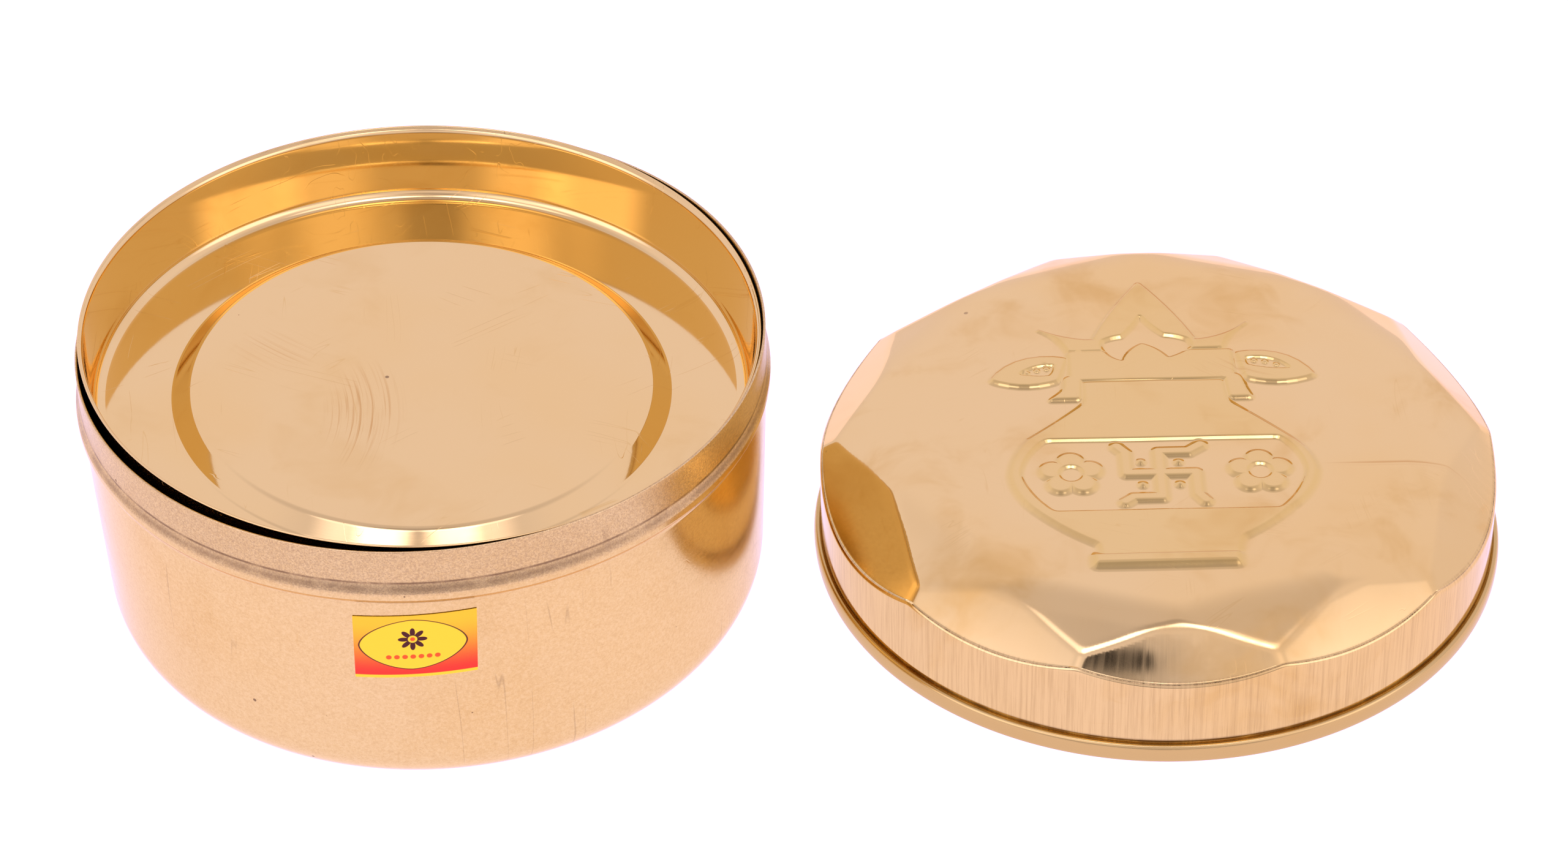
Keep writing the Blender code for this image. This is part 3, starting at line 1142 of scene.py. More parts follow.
def strokes(points: np.ndarray, lines: Sequence[Sequence[tuple[float, float]]], width: float) -> np.ndarray:
    """Measures how far points lie from the edge of round-ended strokes.

    Args:
        points: The points, one a row.
        lines: The strokes' middle lines.
        width: The strokes' width.

    Returns:
        The distances, negative inside the strokes.
    """
    nearest = np.full(len(points), np.inf)
    for line in lines:
        for start, end in zip(np.array(line[:-1]), np.array(line[1:])):
            nearest = np.minimum(nearest, squared_gap(points, start, end - start))
    return np.sqrt(nearest) - width / 2


def dots(points: np.ndarray, centres: Sequence[tuple[float, float]], radius: float) -> np.ndarray:
    """Measures how far points lie from the edge of round dots, negative inside them."""
    gaps = [np.hypot(points[:, 0] - x, points[:, 1] - y) for x, y in centres]
    return np.min(gaps, axis=0) - radius


def raised(distance: np.ndarray, height: float, edge: float) -> np.ndarray:
    """Turns a distance from an edge into a height that eases over the edge's width."""
    share = np.clip(0.5 - distance / edge, 0, 1)
    return height * share * share * (3 - 2 * share)


class PotMark(Enum):
    """The mark in the middle of the pot's panel."""

    SWASTIK = "swastik"
    LOTUS = "lotus"
    NONE = "none"


@dataclass(frozen=True)
class KalashEmblem:
    """The pressed emblem on the lid: a kalash pot with mango leaves, a coconut and a panel of flowers. In mm."""

    mark: PotMark = PotMark.SWASTIK
    pot_height: float = 1.0
    crown_height: float = 1.0
    mark_height: float = 0.9
    foot_height: float = 1.5
    edge: float = 2.9
    crisp_edge: float = 2.3
    panel_edge: float = 1.8

    def height(self, spots: np.ndarray) -> np.ndarray:
        """Gives the emblem's height over the lid's flat top.

        Args:
            spots: Points on the top, in mm from the lid's axis, one a row.

        Returns:
            The heights in mm.
        """
        level = raised(self._pot(spots), self.pot_height, self.edge)
        level = np.maximum(level, raised(self._foot(spots), self.foot_height, 4.0))
        level = np.maximum(level, raised(self._crown(spots), self.crown_height, self.crisp_edge))
        level -= raised(strokes(spots, (((-20, 19.4), (19.5, 20.2)),), 0.7), 0.14, 0.9)
        level -= raised(self._kernel(spots), 1.0, 1.9)
        level -= raised(self._slits(spots), 0.7, 1.3)
        level += raised(self._seeds(spots), 0.5, 1.0)
        level -= raised(self._panel(spots), self.pot_height - 0.05, self.panel_edge)
        level += raised(self._flowers(spots), self.mark_height, self.crisp_edge)
        level -= raised(dots(spots, ((-26, -22), (27, -22)), 3.2), self.mark_height - 0.1, 1.5)
        level += raised(self._middle_mark(spots), self.mark_height, self.crisp_edge)
        return level

    def patina_and_slope_shade(self, spots: np.ndarray) -> np.ndarray:
        """Gives the share of the patina colour on the emblem: painted shade on its slopes, and an ochre tint of old
        polish on its raised parts.

        Args:
            spots: Points on the top, in mm from the lid's axis, one a row.

        Returns:
            Shares between 0 and 1.
        """
        step = 0.25
        across = (self.height(spots + (step, 0)) - self.height(spots - (step, 0))) / (2 * step)
        along = (self.height(spots + (0, step)) - self.height(spots - (0, step))) / (2 * step)
        # Painted shade: the steeper the relief's slope, the darker its colour.
        slope = np.clip(np.hypot(across, along) / 0.5, 0, 1)
        lift = np.clip(self.height(spots) / self.crown_height, 0, 1)
        return np.clip(0.5 * slope + 0.5 * lift, 0, 1)

    def _pot(self, spots: np.ndarray) -> np.ndarray:
        """The pot's neck, shoulders and belly."""
        corners = ((-21, 20), (-21, 9.5), (-37.5, -6), (-43.5, -22), (-37.5, -37.5), (-20, -53), (-20, -58),
                   (19, -58), (20, -51), (35, -38), (43.5, -22), (38, -8), (21, 9.5), (20, 20))
        bows = (0, -0.01, 0.07, 0.08, 0.04, 0, 0, 0, 0.04, 0.09, 0.08, 0.01, 0, 0)
        return distance_to(spots, bowed(corners, bows))

    def _foot(self, spots: np.ndarray) -> np.ndarray:
        """The bar that the pot stands on."""
        return distance_to(spots, bowed(((-22, -56.5), (-22, -62), (19, -62), (19, -56.5)), ()))

    def _crown(self, spots: np.ndarray) -> np.ndarray:
        """Joins the coconut, the standing leaves, the side leaves and their stems into one raised field.

        Args:
            spots: Points on the top, in mm.

        Returns:
            Their distances from the field's edge.
        """
        coconut = bowed(((-1.8, 67), (-17, 39), (-12, 30), (8, 30), (13.5, 38.5)), (0.03, 0, 0, 0, 0.03))
        spikes = bowed(((-19, 39.5), (-32.5, 44.8), (-24.2, 33), (21, 34), (28.8, 46.8), (14.5, 39)),
                       (-0.05, -0.09, 0, -0.09, -0.08, 0))
        block = bowed(((-24.5, 34), (-24.5, 19.5), (23.5, 19.5), (23.5, 34)), ())
        left = bowed(((-24, 31), (-47.5, 20.8), (-27, 20)), (0.20, 0.13, 0))
        right = bowed(((46.8, 20.8), (24, 32.5), (26, 20)), (0.20, 0, 0.12))
        stems = bowed(((-26, 22), (-26.5, 16), (-31, 11.3), (-21, 11.3), (-20.5, 19), (-20, 24)), ())
        stems_right = bowed(((25, 22), (20, 24), (20, 19), (20.5, 11), (28, 11), (26.3, 16)), ())
        parts = [distance_to(spots, shape) for shape in (coconut, spikes, block, left, right, stems, stems_right)]
        return np.min(parts, axis=0)

    def _kernel(self, spots: np.ndarray) -> np.ndarray:
        """The sunk field inside the coconut, with two lobes and a notch between them."""
        corners = ((-2.3, 50), (-8, 40.5), (-13.8, 38.3), (-13, 33), (-8.5, 29.3), (-2.5, 37.3), (4.8, 30.5),
                   (11.5, 35), (10.5, 38.8), (4, 41))
        bows = (-0.04, 0.06, 0.12, 0.1, -0.1, -0.08, 0.06, 0.14, 0.06, -0.04)
        return distance_to(spots, bowed(corners, bows))

    def _slits(self, spots: np.ndarray) -> np.ndarray:
        """The sunk slits in the side leaves."""
        left = bowed(((-28.5, 27.5), (-38.5, 23.6), (-30, 22.8)), (0.12, 0.05, 0.1))
        right = bowed(((39.5, 24.2), (27, 29.4), (27.5, 26.2)), (0.16, 0.1, 0.05))
        return np.minimum(distance_to(spots, left), distance_to(spots, right))

    def _seeds(self, spots: np.ndarray) -> np.ndarray:
        """The small beads in the slits."""
        beads = ((-36.3, 24.3), (-33.4, 25.4), (-30.6, 26.2), (29.3, 28.2), (32.4, 27.6), (35.6, 26.2))
        return dots(spots, beads, 0.8)

    def _panel(self, spots: np.ndarray) -> np.ndarray:
        """The sunk panel across the belly."""
        corners = ((33.5, -7), (-32.5, -7), (-40, -22), (-31.5, -38), (31.5, -38), (40, -22))
        return distance_to(spots, bowed(corners, (0, 0.09, 0.07, 0, 0.07, 0.09)))

    def _flowers(self, spots: np.ndarray) -> np.ndarray:
        """Draws the two flowers of five petals.

        Args:
            spots: Points on the top, in mm.

        Returns:
            Their distances from the flowers' edges.
        """
        centres = [(-26.0 + 1.5 * x, -22.0 + 1.5 * y) for x, y in ((1, 0), (-1, 0), (0, 1), (0, -1))]
        centres += [(x + 53.0, y) for x, y in centres]
        for middle in (-26.0, 27.0):
            for petal in range(5):
                angle = math.radians(90 + 72 * petal)
                centres.append((middle + 5.4 * math.cos(angle), -22 + 5.4 * math.sin(angle)))
        return dots(spots, centres, 3.9)

    def _middle_mark(self, spots: np.ndarray) -> np.ndarray:
        """Draws the mark between the flowers.

        Args:
            spots: Points on the top, in mm.

        Returns:
            Their distances from the mark's edge.
        """
        if self.mark is PotMark.NONE:
            return np.full(len(spots), np.inf)
        if self.mark is PotMark.LOTUS:
            ring = [(-0.5 + 5.6 * math.cos(math.radians(a)), -22 + 5.6 * math.sin(math.radians(a)))
                    for a in range(0, 360, 45)]
            return dots(spots, ring, 2.6)
        arms = (((-1, -12.6), (-1, -32.6)), ((-10.4, -22), (9, -22)), ((-1, -12.6), (7.5, -12.6), (11, -10)),
                ((9, -22), (9, -31.5), (11, -34.5)), ((-1, -32.6), (-9, -32.6), (-11.5, -34.6)),
                ((-10.4, -22), (-10.4, -13), (-12.6, -10.2)))
        quarters = ((-6.2, -16.8), (4.4, -17.2), (-6.2, -27), (4.2, -27))
        return np.minimum(strokes(spots, arms, 3.7), dots(spots, quarters, 1.1))


@dataclass(frozen=True)
class OuterLid:
    """The lid: a flat top with the emblem, a shoulder of pointed facets, a short skirt and a rolled hem."""

    finish: BrassFinish
    # The hem's finish, darkened with painted shade.
    hem_shaded_finish: BrassFinish
    emblem: KalashEmblem
    height: float = 40.0 * MM
    skirt_radius: float = 96.3 * MM
    hem_radius: float = 98.3 * MM
    hem_height: float = 5.8 * MM
    corner_height: float = 29.5 * MM
    notch_radius: float = 93.0 * MM
    sheet: float = 0.6 * MM
    corners: tuple[float, ...] = (-107, -73, -40, 4, 38, 75, 106, 144, 177, 220)
    tips: tuple[float, ...] = (81.5, 80.8, 79.5, 80.0, 81.0, 82.0, 81.0, 80.0, 79.5, 80.8)
    bulge: float = 600.0 * MM
    facet_reach: float = 22.0 * MM
    crease: float = 0.45 * MM
    soft_edge: float = 3.4 * MM
    rim_edge: float = 0.5 * MM
    disc_radius: float = 71.0 * MM
    columns: int = 600
    unevenness: float = 0.07 * MM
    wavelengths: tuple[float, ...] = (70, 55, 42, 33, 27, 22)
    heart: tuple[float, float, float] = (0.0, 0.0, 5.0 * MM)
    cast_halvings: int = 34
    brim_halvings: int = 30
    square: float = 4.0 * MM
    skirt_foot: float = 1.0 * MM
    calm_reach: float = 8.0 * MM
    hem_sides: int = 32
    hem_power: float = 0.8

    def planes(self) -> list[tuple[np.ndarray, np.ndarray, float]]:
        """Gives the facets of the shoulder: ten steep ones, which bulge, and ten flatter ones between them.

        Returns:
            Each facet's middle, its outward normal and how sharply it bulges.
        """
        turns = np.radians(np.array(self.corners + (self.corners[0] + 360.0,)))
        middles = (turns[1:] + turns[:-1]) / 2
        half = math.pi / len(middles)
        rise = self.height - self.corner_height
        slope = rise / (self.skirt_radius * math.cos(half) - float(np.mean(self.tips)) * MM)
        notch_height = self.corner_height + (self.skirt_radius - self.notch_radius) * math.cos(half) * slope
        corners = [self._spot(turn, self.skirt_radius, self.corner_height) for turn in turns]
        notches = [self._spot(turn, self.notch_radius, notch_height) for turn in turns]
        tips = [self._spot(turn, radius * MM, self.height) for turn, radius in zip(middles, self.tips)]
        found = []
        for index in range(len(middles)):
            after = tips[(index + 1) % len(tips)]
            steep = (corners[index], corners[index + 1], tips[index])
            flat = (tips[index], notches[index + 1], after)
            for (a, b, c), bend in ((steep, 1 / self.bulge), (flat, 0.0)):
                normal = np.cross(b - a, c - a)
                found.append(((a + b + c) / 3, normal / np.linalg.norm(normal), bend))
        return found

    def _facets(self, spots: np.ndarray) -> np.ndarray:
        """Measures roughly how far points lie outside the shoulder's facets.

        Args:
            spots: The points, one a row.

        Returns:
            The distances, negative inside.
        """
        values = []
        for middle, normal, bend in self.planes():
            apart = spots - middle
            out = apart @ normal
            if bend:
                out = out + ((apart * apart).sum(axis=1) - self.facet_reach**2) * bend / 2
            values.append(out)
        return self._softened(values, self.crease)

    @staticmethod
    def _spot(turn: float, radius: float, height: float) -> np.ndarray:
        """A point at an angle, a distance from the axis and a height."""
        return np.array((radius * math.cos(turn), radius * math.sin(turn), height))

    def _outside(self, spots: np.ndarray, inset: float) -> np.ndarray:
        """Measures roughly how far points lie outside the lid's surface, set back by inset."""
        shoulder = self._softened([self._facets(spots), spots[:, 2] - self.height], self.soft_edge)
        wall = np.hypot(spots[:, 0], spots[:, 1]) - self.skirt_radius
        return self._softened([shoulder, wall], self.rim_edge) + inset

    @staticmethod
    def _softened(values: Sequence[np.ndarray], width: float) -> np.ndarray:
        """Takes the largest of several values, with the change between them eased.

        Args:
            values: The values.
            width: How close two values are when the easing begins.

        Returns:
            The largest ones.
        """
        most = values[0]
        for value in values[1:]:
            near = np.maximum(width - np.abs(most - value), 0.0) / width
            most = np.maximum(most, value) + near * near * width / 4
        return most

    def _cast(self, aims: np.ndarray, inset: float) -> np.ndarray:
        """Moves points along their line from the lid's inside until they lie on its surface.

        Args:
            aims: Points near the surface.
            inset: How far inside the outer surface the surface lies.

        Returns:
            The points on the surface.
        """
        heart = np.array(self.heart)
        rays = aims - heart
        near, far = np.full(len(aims), 0.5), np.full(len(aims), 1.4)
        for _ in range(self.cast_halvings):
            middle = (near + far) / 2
            out = self._outside(heart + rays * middle[:, None], inset) > 0
            far = np.where(out, middle, far)
            near = np.where(out, near, middle)
        return heart + rays * near[:, None]

    def _brim(self, around: np.ndarray) -> np.ndarray:
        """Finds the height at which the facets meet the skirt.

        Args:
            around: Directions round the axis, one a row.

        Returns:
            The height in each direction.
        """
        low, high = np.zeros(len(around)), np.full(len(around), self.height)
        for _ in range(self.brim_halvings):
            middle = (low + high) / 2
            out = self._facets(np.column_stack([around * self.skirt_radius, middle])) > 0
            low, high = np.where(out, low, middle), np.where(out, middle, high)
        return low

    def _uneven(self, spots: np.ndarray) -> np.ndarray:
        """Gives the slow unevenness of the hand-planished sheet.

        Args:
            spots: Points over the top, one a row.

        Returns:
            Heights in metres.
        """
        chance = np.random.default_rng(11)
        total = np.zeros(len(spots))
        for wave in self.wavelengths:
            turn, phase = chance.uniform(0, 2 * math.pi, 2)
            bend, shift = chance.uniform(0, 2 * math.pi, 2)
            along = spots[:, 0] * math.cos(turn) + spots[:, 1] * math.sin(turn)
            across = spots[:, 0] * math.cos(bend) + spots[:, 1] * math.sin(bend)
            swing = 1.3 * np.sin(across * 2 * math.pi / (1.7 * wave * MM) + shift)
            total += np.sin(along * 2 * math.pi / (wave * MM) + phase + swing) * wave / self.wavelengths[0]
        return total * self.unevenness / 2

    def _top(self, spots: np.ndarray) -> np.ndarray:
        """Gives the height of the top over points on it, in metres."""
        return self.height + self.emblem.height(spots / MM) * MM + self._uneven(spots)

    def _refined(self, coarse: float, levels: int, slack: float) -> np.ndarray:
        """Divides the top into squares, smaller where its height bends.

        Args:
            coarse: The side of the largest squares.
            levels: How often a square may be halved.
            slack: How far a square's middle may lie from its corners' mean.

        Returns:
            The corners of all the squares, one a row.
        """
        count = math.ceil(self.disc_radius / coarse)
        steps = np.arange(-count, count)
        cells = np.array([(x, y) for x in steps for y in steps], float) * coarse
        size, kept = coarse, []
        for level in range(levels + 1):
            corners = cells[:, None, :] + np.array(((0, 0), (size, 0), (size, size), (0, size)))
            kept.append(corners.reshape(-1, 2))
            if level == levels:
                break
            inner = np.array(((0.5, 0.5), (0.5, 0), (0, 0.5), (0.25, 0.75), (0.75, 0.25)))
            probes = cells[:, None, :] + size * inner
            heights = self._top(corners.reshape(-1, 2)).reshape(-1, 4)
            found = self._top(probes.reshape(-1, 2)).reshape(-1, 5)
            error = np.abs(found - heights.mean(axis=1)[:, None])
            tilt = heights.max(axis=1) - heights.min(axis=1)
            bent = (error.max(axis=1) > slack) & ((error[:, 0] > slack / 2) | (tilt > slack * 3))
            parents = cells[bent]
            size /= 2
            cells = (parents[:, None, :] + size * np.array(((0, 0), (1, 0), (1, 1), (0, 1)))).reshape(-1, 2)
        spots = np.unique(np.round(np.concatenate(kept) / (size / 4)).astype(int), axis=0) * (size / 4)
        return spots[np.hypot(spots[:, 0], spots[:, 1]) < self.disc_radius - coarse / 6]

    def _around(self) -> np.ndarray:
        """The directions of the columns round the axis."""
        turns = np.arange(self.columns) * 2 * math.pi / self.columns
        return np.stack([np.cos(turns), np.sin(turns)], axis=1)

    def _disc(self, work: bmesh.types.BMesh, levels: int, slack: float, drop: float) -> None:
        """Adds the top inside its ring.

        Args:
            work: The mesh being built.
            levels: How often a square may be halved.
            slack: How far it may depart from the true shape.
            drop: How far below the outer surface it lies.
        """
        spots = self._refined(self.square, levels, slack)
        flat = np.concatenate([self._around() * self.disc_radius, spots]) / MM
        found = delaunay_2d_cdt([Vector(spot) for spot in flat.tolist()], [], [], 0, 1e-5)
        flat = np.array([(spot.x, spot.y) for spot in found[0]]) * MM
        heights = self._top(flat) - drop
        verts = [work.verts.new((x, y, z)) for (x, y), z in zip(flat.tolist(), heights.tolist())]
        for face in found[2]:
            work.faces.new([verts[index] for index in face])

    def _wall(self, work: bmesh.types.BMesh, inset: float, fine: bool) -> None:
        """Adds the shoulder and skirt, from the top's ring down to the hem.

        Args:
            work: The mesh being built.
            inset: How far inside the outer surface it lies.
            fine: Whether it shows and so needs close rows.
        """
        around, inner, foot = self._around(), self.disc_radius, self.skirt_foot
        brim = self._brim(around)
        slopes = np.linspace(0, 1, 31 if fine else 8)[1:-1]
        aims = [np.column_stack([around * (inner + (self.skirt_radius - inner) * share),
                                 self.height + (brim - self.height) * share]) for share in slopes]
        drops = (-0.9, -0.45, -0.15, 0.15, 0.45, 0.9) if fine else (0.0,)
        aims += [np.column_stack([around * self.skirt_radius, brim - drop * MM]) for drop in drops]
        shares = (0.08, 0.3, 0.55, 0.8, 1.0) if fine else (0.5, 1.0)
        aims += [np.column_stack([around * self.skirt_radius, brim - (brim - foot) * share]) for share in shares]
        ring = around * inner
        rows = [np.column_stack([ring, self._top(ring) - inset])]
        for aim in aims:
            row = self._cast(aim, inset)
            reach = np.hypot(row[:, 0], row[:, 1])
            fade = np.clip((self.skirt_radius - reach) / self.calm_reach, 0, 1)
            row[:, 2] += self._uneven(row[:, :2]) * fade
            rows.append(row)
        rows[-1][:, 2] = foot
        lines = [[work.verts.new(spot) for spot in row.tolist()] for row in rows]
        for upper, lower in zip(lines, lines[1:]):
            for column in range(self.columns):
                after = (column + 1) % self.columns
                work.faces.new((upper[column], lower[column], lower[after], upper[after]))

    def shell(self) -> bpy.types.Mesh:
        """Builds the sheet of the lid, with both its sides.

        Returns:
            A closed mesh, with its foot at height 0.
        """
        work = bmesh.new()
        self._disc(work, 4, 0.010 * MM, 0.0)
        self._wall(work, 0.0, True)
        bmesh.ops.remove_doubles(work, verts=work.verts[:], dist=WELD)
        outer = set(work.verts)
        self._disc(work, 2, 0.08 * MM, self.sheet)
        self._wall(work, self.sheet, False)
        bmesh.ops.remove_doubles(work, verts=[vert for vert in work.verts if vert not in outer], dist=WELD)
        bridged(work)
        mesh = finished(work, "lid_shell")
        self._mark_relief(mesh)
        return mesh

    def _mark_relief(self, mesh: bpy.types.Mesh) -> None:
        """Stores the share of the patina colour at each point of the emblem, painted shade on its slopes and old
        polish on its raised parts, for the finish to read.

        Args:
            mesh: The lid's sheet, with its foot at height 0.
        """
        spots = np.zeros(len(mesh.vertices) * 3, np.float32)
        mesh.vertices.foreach_get("co", spots)
        spots = spots.reshape(-1, 3)
        share = np.zeros(len(spots), np.float32)
        on_top = np.hypot(spots[:, 0], spots[:, 1]) < self.disc_radius
        share[on_top] = self.emblem.patina_and_slope_shade(spots[on_top, :2] / MM)
        mesh.attributes.new("relief", "FLOAT", "POINT").data.foreach_set("value", share)

    def hem_outline(self) -> Outline:
        """Draws the rolled hem: a wire wrapped in the sheet and pressed a little flat.

        Returns:
            Its outline, once round.
        """
        inner = self.skirt_radius - self.sheet
        half_width, half_height = (self.hem_radius - inner) / 2, self.hem_height / 2
        points = []
        for step in range(self.hem_sides + 1):
            angle = 2 * math.pi * step / self.hem_sides
            across, up = (math.copysign(abs(wave) ** self.hem_power, wave)
                          for wave in (math.cos(angle), math.sin(angle)))
            points.append((inner + half_width * (1 + across), half_height * (1 + up)))
        return points

    def build(self, tree: SpinTree) -> None:
        """Builds the lid's sheet and its hem, and ties them to the model.

        Args:
            tree: The tree that spins the hem.
        """
        place = Matrix.Translation(foot_of("outer_lid"))
        mesh = self.shell()
        face_outwards(mesh)
        mesh.transform(place)
        settle(add_piece("lid_shell", mesh, self.finish.material()), "lid", "outer_lid")
        hem = tree.spin("lid_hem", self.hem_outline(), 240, self.hem_shaded_finish.material(), waver=0.12 * MM,
                        waves=22.0, seed=5)
        hem.data.transform(place)
        settle(hem, "lid", "outer_lid")


@dataclass(frozen=True)
class PaperLabel:
    """The small printed label on the front of the wall."""

    finish: PaperFinish
    width: float = 33.2 * MM
    height: float = 22.2 * MM
    sheet: float = 0.14 * MM
    gap: float = 0.10 * MM
    climb: float = 1.5 * MM
    shear: float = 0.9 * MM
    columns: int = 48
    rows: int = 12

    def build(self, wall: BoxBody) -> None:
        """Bends the label round the wall and ties it to the model.

        Args:
            wall: The box that it lies on.
        """
        work = bmesh.new()
        layer = work.loops.layers.uv.new("UVMap")
        low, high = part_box("label_sticker")
        axis = foot_of("box_body")
        middle = (low + high) / 2 - axis
        for lift in (self.gap, self.gap + self.sheet):
            grid = [[work.verts.new(axis + self._spot(wall, middle, column / self.columns, row / self.rows, lift))
                     for column in range(self.columns + 1)] for row in range(self.rows + 1)]
            for row in range(self.rows):
                for column in range(self.columns):
                    ring = ((row, column), (row, column + 1), (row + 1, column + 1), (row + 1, column))
                    face = work.faces.new([grid[r][c] for r, c in ring])
                    for loop, (r, c) in zip(face.loops, ring):
                        loop[layer].uv = (c / self.columns, r / self.rows)
        bridged(work)
        mesh = finished(work, "paper_label")
        piece = add_piece("paper_label", mesh, self.finish.material())
        mesh.set_sharp_from_angle(angle=SHARP)
        face_outwards(mesh)
        settle(piece, "box", "label_sticker")

    def _spot(self, wall: BoxBody, middle: Vector, u: float, v: float, lift: float) -> Vector:
        """Finds a point of the label, from the middle of the box's foot.

        Args:
            wall: The box that it lies on.
            middle: The label's own middle.
            u: The share of its width.
            v: The share of its height.
            lift: How far it lies off the wall.

        Returns:
            The point.
        """
        across, along = u - 0.5, v - 0.5
        height = middle.z + self.height * along + self.climb * across
        reach = self._wall_radius(wall, height) + lift
        angle = math.atan2(middle.y, middle.x) + (self.width * across + self.shear * along) / wall.wall_radius
        return Vector((reach * math.cos(angle), reach * math.sin(angle), height))

    @staticmethod
    def _wall_radius(wall: BoxBody, height: float) -> float:
        """The wall's outer radius at a height."""
        outer = sorted((z, radius) for radius, z in wall.outline().outer())
        return float(np.interp(height, [z for z, _ in outer], [radius for _, radius in outer]))


@dataclass(frozen=True)
class SkyPatch:
    """A soft bright or dark patch of the studio.

    Its direction, half width and softness are in degrees, and its flatness is its height over its width.
    """

    azimuth: float
    elevation: float
    half_width: float
    softness: float
    change: float
    flatness: float = 1.0

    def level(self, look: Signal) -> Signal:
        """Gives the patch's change to the light.

        Args:
            look: The direction.

        Returns:
            The change, zero away from the patch.
        """
        turn, rise = math.radians(self.azimuth), math.radians(self.elevation)
        middle = Vector((math.cos(rise) * math.cos(turn), math.cos(rise) * math.sin(turn), math.sin(rise)))
        side = UP.cross(middle).normalized()
        up = middle.cross(side)
        reach = look.wiring.point(look.dot(tuple(side)), look.dot(tuple(up / self.flatness))).length()
        inner = math.sin(math.radians(self.half_width - self.softness))
        outer = math.sin(math.radians(self.half_width + self.softness))
        ahead = look.wiring.math("GREATER_THAN", look.dot(tuple(middle)), 0.0)
        return reach.band(inner, outer, self.change, 0.0) * ahead


@dataclass(frozen=True)
class Studio:
    """The pale floor, the soft light and the camera."""

    floor_size: float = 12.0
    floor_place: tuple[float, float, float] = (0.1, 0.0, -0.2 * MM)
    floor_tone: Color = (0.10, 0.08, 0.09, 1.0)
    glow_tone: Color = (1.16, 1.03, 1.68, 1.0)
    sky_tone: Color = (1.085, 1.0, 1.66, 1.0)
    sky_low: float = 0.92
    sky_middle: float = 0.98
    sky_high: float = 0.76
    sky_least: float = 0.02
    lens: float = 112.5
    eye: tuple[float, float, float] = (107.95 * MM, -1073.55 * MM, 911.59 * MM)
    aim: tuple[float, float, float] = (99.46 * MM, 25.62 * MM, 30.0 * MM)
    roll: float = math.radians(1.407)
    patches: tuple[SkyPatch, ...] = (
        SkyPatch(-148, 26, 17, 6, 0.90),
        SkyPatch(-122, 36, 13, 6, 0.70),
        SkyPatch(-26, 22, 17, 6, 0.90),
        SkyPatch(-54, 34, 14, 6, 0.50),
        SkyPatch(-140, 66, 9, 4, 1.0),
        SkyPatch(-112, 67, 8, 3, 2.6),
        SkyPatch(-62, 67, 8, 3, 2.6),
        SkyPatch(-38, 66, 9, 4, 1.0),
        SkyPatch(-90, 40, 9, 3, -0.33),
        SkyPatch(-93, 48.7, 5.4, 0.5, -0.95, 0.26),
        SkyPatch(-76.7, 48.3, 1.5, 0.4, -0.60, 0.35),
        SkyPatch(-90, 86, 9, 5, -0.22),
        SkyPatch(-92, 2, 10, 8, -0.60),
        SkyPatch(-68, 2, 10, 8, -0.45),
        SkyPatch(-116, 2, 10, 8, -0.45),
    )

    def build(self) -> None:
        """Sets up the floor, the light, the camera and the picture's tone."""
        self._floor()
        self._sky()
        self._camera()
        scene = bpy.context.scene
        scene.view_settings.view_transform = "Standard"
        scene.cycles.use_denoising = True
        scene.cycles.caustics_reflective = False
        LOG.info("studio is ready")

    def _floor(self) -> None:
        """Lays the plain pale floor, just under the object's feet."""
        work = bmesh.new()
        bmesh.ops.create_grid(work, x_segments=8, y_segments=8, size=self.floor_size / 2)
        mesh = finished(work, "floor", level=False)
        floor = bpy.data.objects.new("floor", mesh)
        bpy.context.scene.collection.objects.link(floor)
        floor.location = self.floor_place
        material, wiring, shader = fresh_material("floor_paint", self.floor_tone)
        wiring.fill(shader, {"Base Color": self.floor_tone, "Roughness": 0.9, "Specular IOR Level": 0.1,
                             "Emission Color": self.glow_tone, "Emission Strength": 1.0})
        mesh.materials.append(material)

    def _sky(self) -> None:
        """Paints the room as a soft fade with brighter and darker patches."""
        world = bpy.data.worlds.new("studio")
        bpy.context.scene.world = world
        world.use_nodes = True
        wiring = Wiring(world.node_tree)
        world.node_tree.nodes.clear()
        look = wiring.take("ShaderNodeTexCoord", output="Generated", vector=True)
        rise = look.parts()[2]
        level = rise.band(0.0, 0.5, self.sky_low, self.sky_middle)
        level = level + rise.band(0.72, 0.95, 0.0, self.sky_high - self.sky_middle)
        for patch in self.patches:
            level = level + patch.level(look)
        gain = wiring.math("MAXIMUM", level, self.sky_least)
        light = wiring.take("ShaderNodeBackground", {"Color": self.sky_tone, "Strength": gain})
        wiring.node("ShaderNodeOutputWorld", {"Surface": light}).is_active_output = True

    def _camera(self) -> None:
        """Places the camera and turns it to the object."""
        camera = bpy.data.objects.new("camera", bpy.data.cameras.new("camera"))
        bpy.context.scene.collection.objects.link(camera)
        bpy.context.scene.camera = camera
        camera.data.lens = self.lens
        camera.data.sensor_width = 36.0
        camera.data.clip_start = 0.01
        ahead = (Vector(self.aim) - Vector(self.eye)).normalized()
        right = ahead.cross(UP).normalized()
        leaned = right.cross(ahead) * math.cos(self.roll) + right * math.sin(self.roll)
        turn = Matrix((ahead.cross(leaned), leaned, -ahead)).transposed()
        camera.matrix_world = Matrix.Translation(self.eye) @ turn.to_4x4()


def box_finish(centre: tuple[float, float]) -> BrassFinish:
    """Satin brass with a matt neck and painted shade at the neck's foot, for the box."""
    # Painted shade: a dark line in the crease at the neck's foot, and a dark band over the flare below it.
    crease_shades = (CreaseShade(77.0 * MM, 0.6 * MM, 0.85), CreaseShade(75.3 * MM, 1.7 * MM, 0.50))
    return BrassFinish("satin_box_brass", centre, roughness=0.15, grain_height=0.000004, stains=0.22, speckle=0.55,
                       speckle_from=74.2 * MM, speckle_beyond=92.0 * MM, specks=0.8, speck_scale=200.0,
                       speck_size=0.12, mottle=0.16, hairlines=0.28, crease_shades=crease_shades)


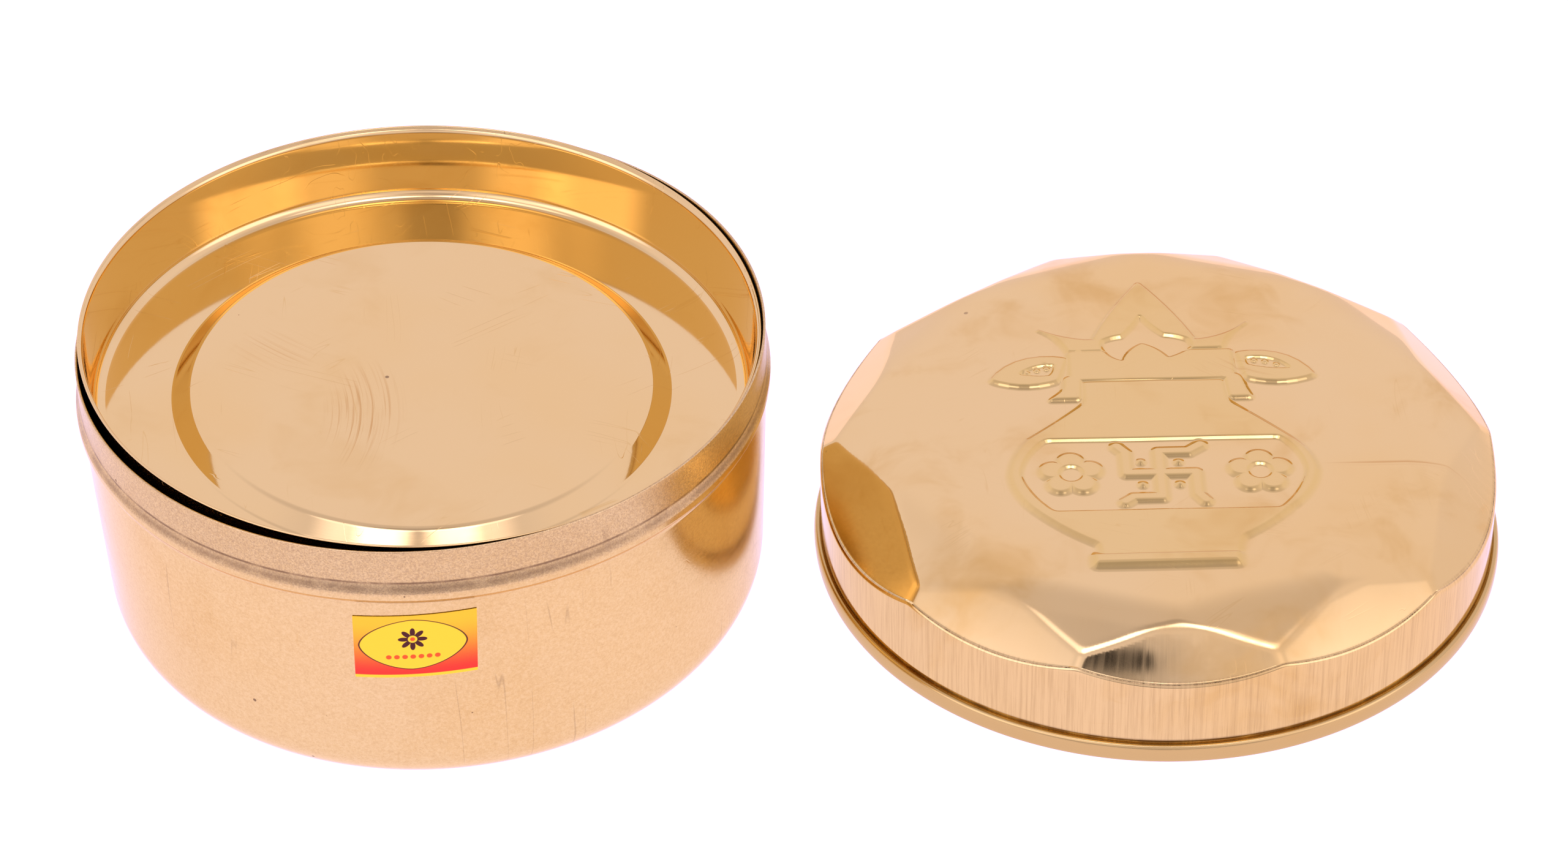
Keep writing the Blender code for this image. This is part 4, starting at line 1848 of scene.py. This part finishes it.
def plate_finish(centre: tuple[float, float]) -> BrassFinish:
    """Polished brass with two patches of rub marks, for the plate."""
    rubs = (Rub((-16 * MM, -16 * MM), (-75 * MM, -18 * MM), (13 * MM, 27 * MM), 0.8),
            Rub((-42 * MM, 12 * MM), (30 * MM, 110 * MM), (16 * MM, 12 * MM), 0.35))
    return BrassFinish("plate_brass", centre, roughness=0.06, rough_spread=0.03, grain_height=0.000002, stains=0.25,
                       scratches=0.7, specks=0.7, rubs=rubs)


def lid_finish(centre: tuple[float, float]) -> BrassFinish:
    """Polished brass with a brushed skirt and a line of painted shade above the hem, for the lid."""
    dashes = (Rub((66 * MM, -19 * MM), (66 * MM, 900 * MM), (26 * MM, 1.5 * MM), 0.9),
              Rub((25 * MM, 25 * MM), (45 * MM, 60 * MM), (16 * MM, 7 * MM), 0.35))
    return BrassFinish("lid_brass", centre, roughness=0.08, grain=Grain.BRUSHED, grain_height=0.000003, stains=0.55,
                       warmth=0.7, rubs=dashes, streaks=0.45, streaks_below=30.0 * MM, streaks_beyond=95.2 * MM,
                       # Painted shade: a dark line where the skirt meets the hem.
                       crease_shades=(CreaseShade(6.4 * MM, 1.1 * MM, 0.95),))


def hem_shaded_finish(centre: tuple[float, float]) -> BrassFinish:
    """Duller brass whose darker tone is painted shade, for the lid's hem."""
    # Painted shade: the darker tone and warm colour stand in for the shade on the rolled hem; its roughness is its
    # own.
    return BrassFinish("hem_brass_painted_shade", centre, tone=(0.57, 0.39, 0.12, 1.0), warm=(0.55, 0.36, 0.10, 1.0),
                       roughness=0.22, stains=0.3)


def main() -> None:
    """Builds the studio and every piece, in order."""
    logging.basicConfig(level=logging.INFO, format="%(name)s: %(message)s")
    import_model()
    Studio().build()
    tree = SpinTree()
    box_centre, lid_centre = (tuple(foot_of(node).xy) for node in ("box_body", "outer_lid"))
    box = BoxBody(box_finish(box_centre))
    box.build(tree)
    InnerPlate(plate_finish(box_centre)).build(tree)
    cup_brass = BrassFinish("cup_brass", roughness=0.18, grain_height=0.00001).material()
    SpiceCup("centre_cup", "cup_centre", "middle_cup").build(tree, cup_brass, 20)
    for place in range(1, 7):
        SpiceCup(f"ring_cup_{place}", f"cup_{place}", f"spice_cup_{place}").build(tree, cup_brass, 20 + place)
    Spoon(BrassFinish("spoon_brass", grain=Grain.BUFFED)).build()
    OuterLid(lid_finish(lid_centre), hem_shaded_finish(lid_centre), KalashEmblem()).build(tree)
    PaperLabel(PaperFinish("label_paper")).build(box)


if __name__ == "__main__":
    main()
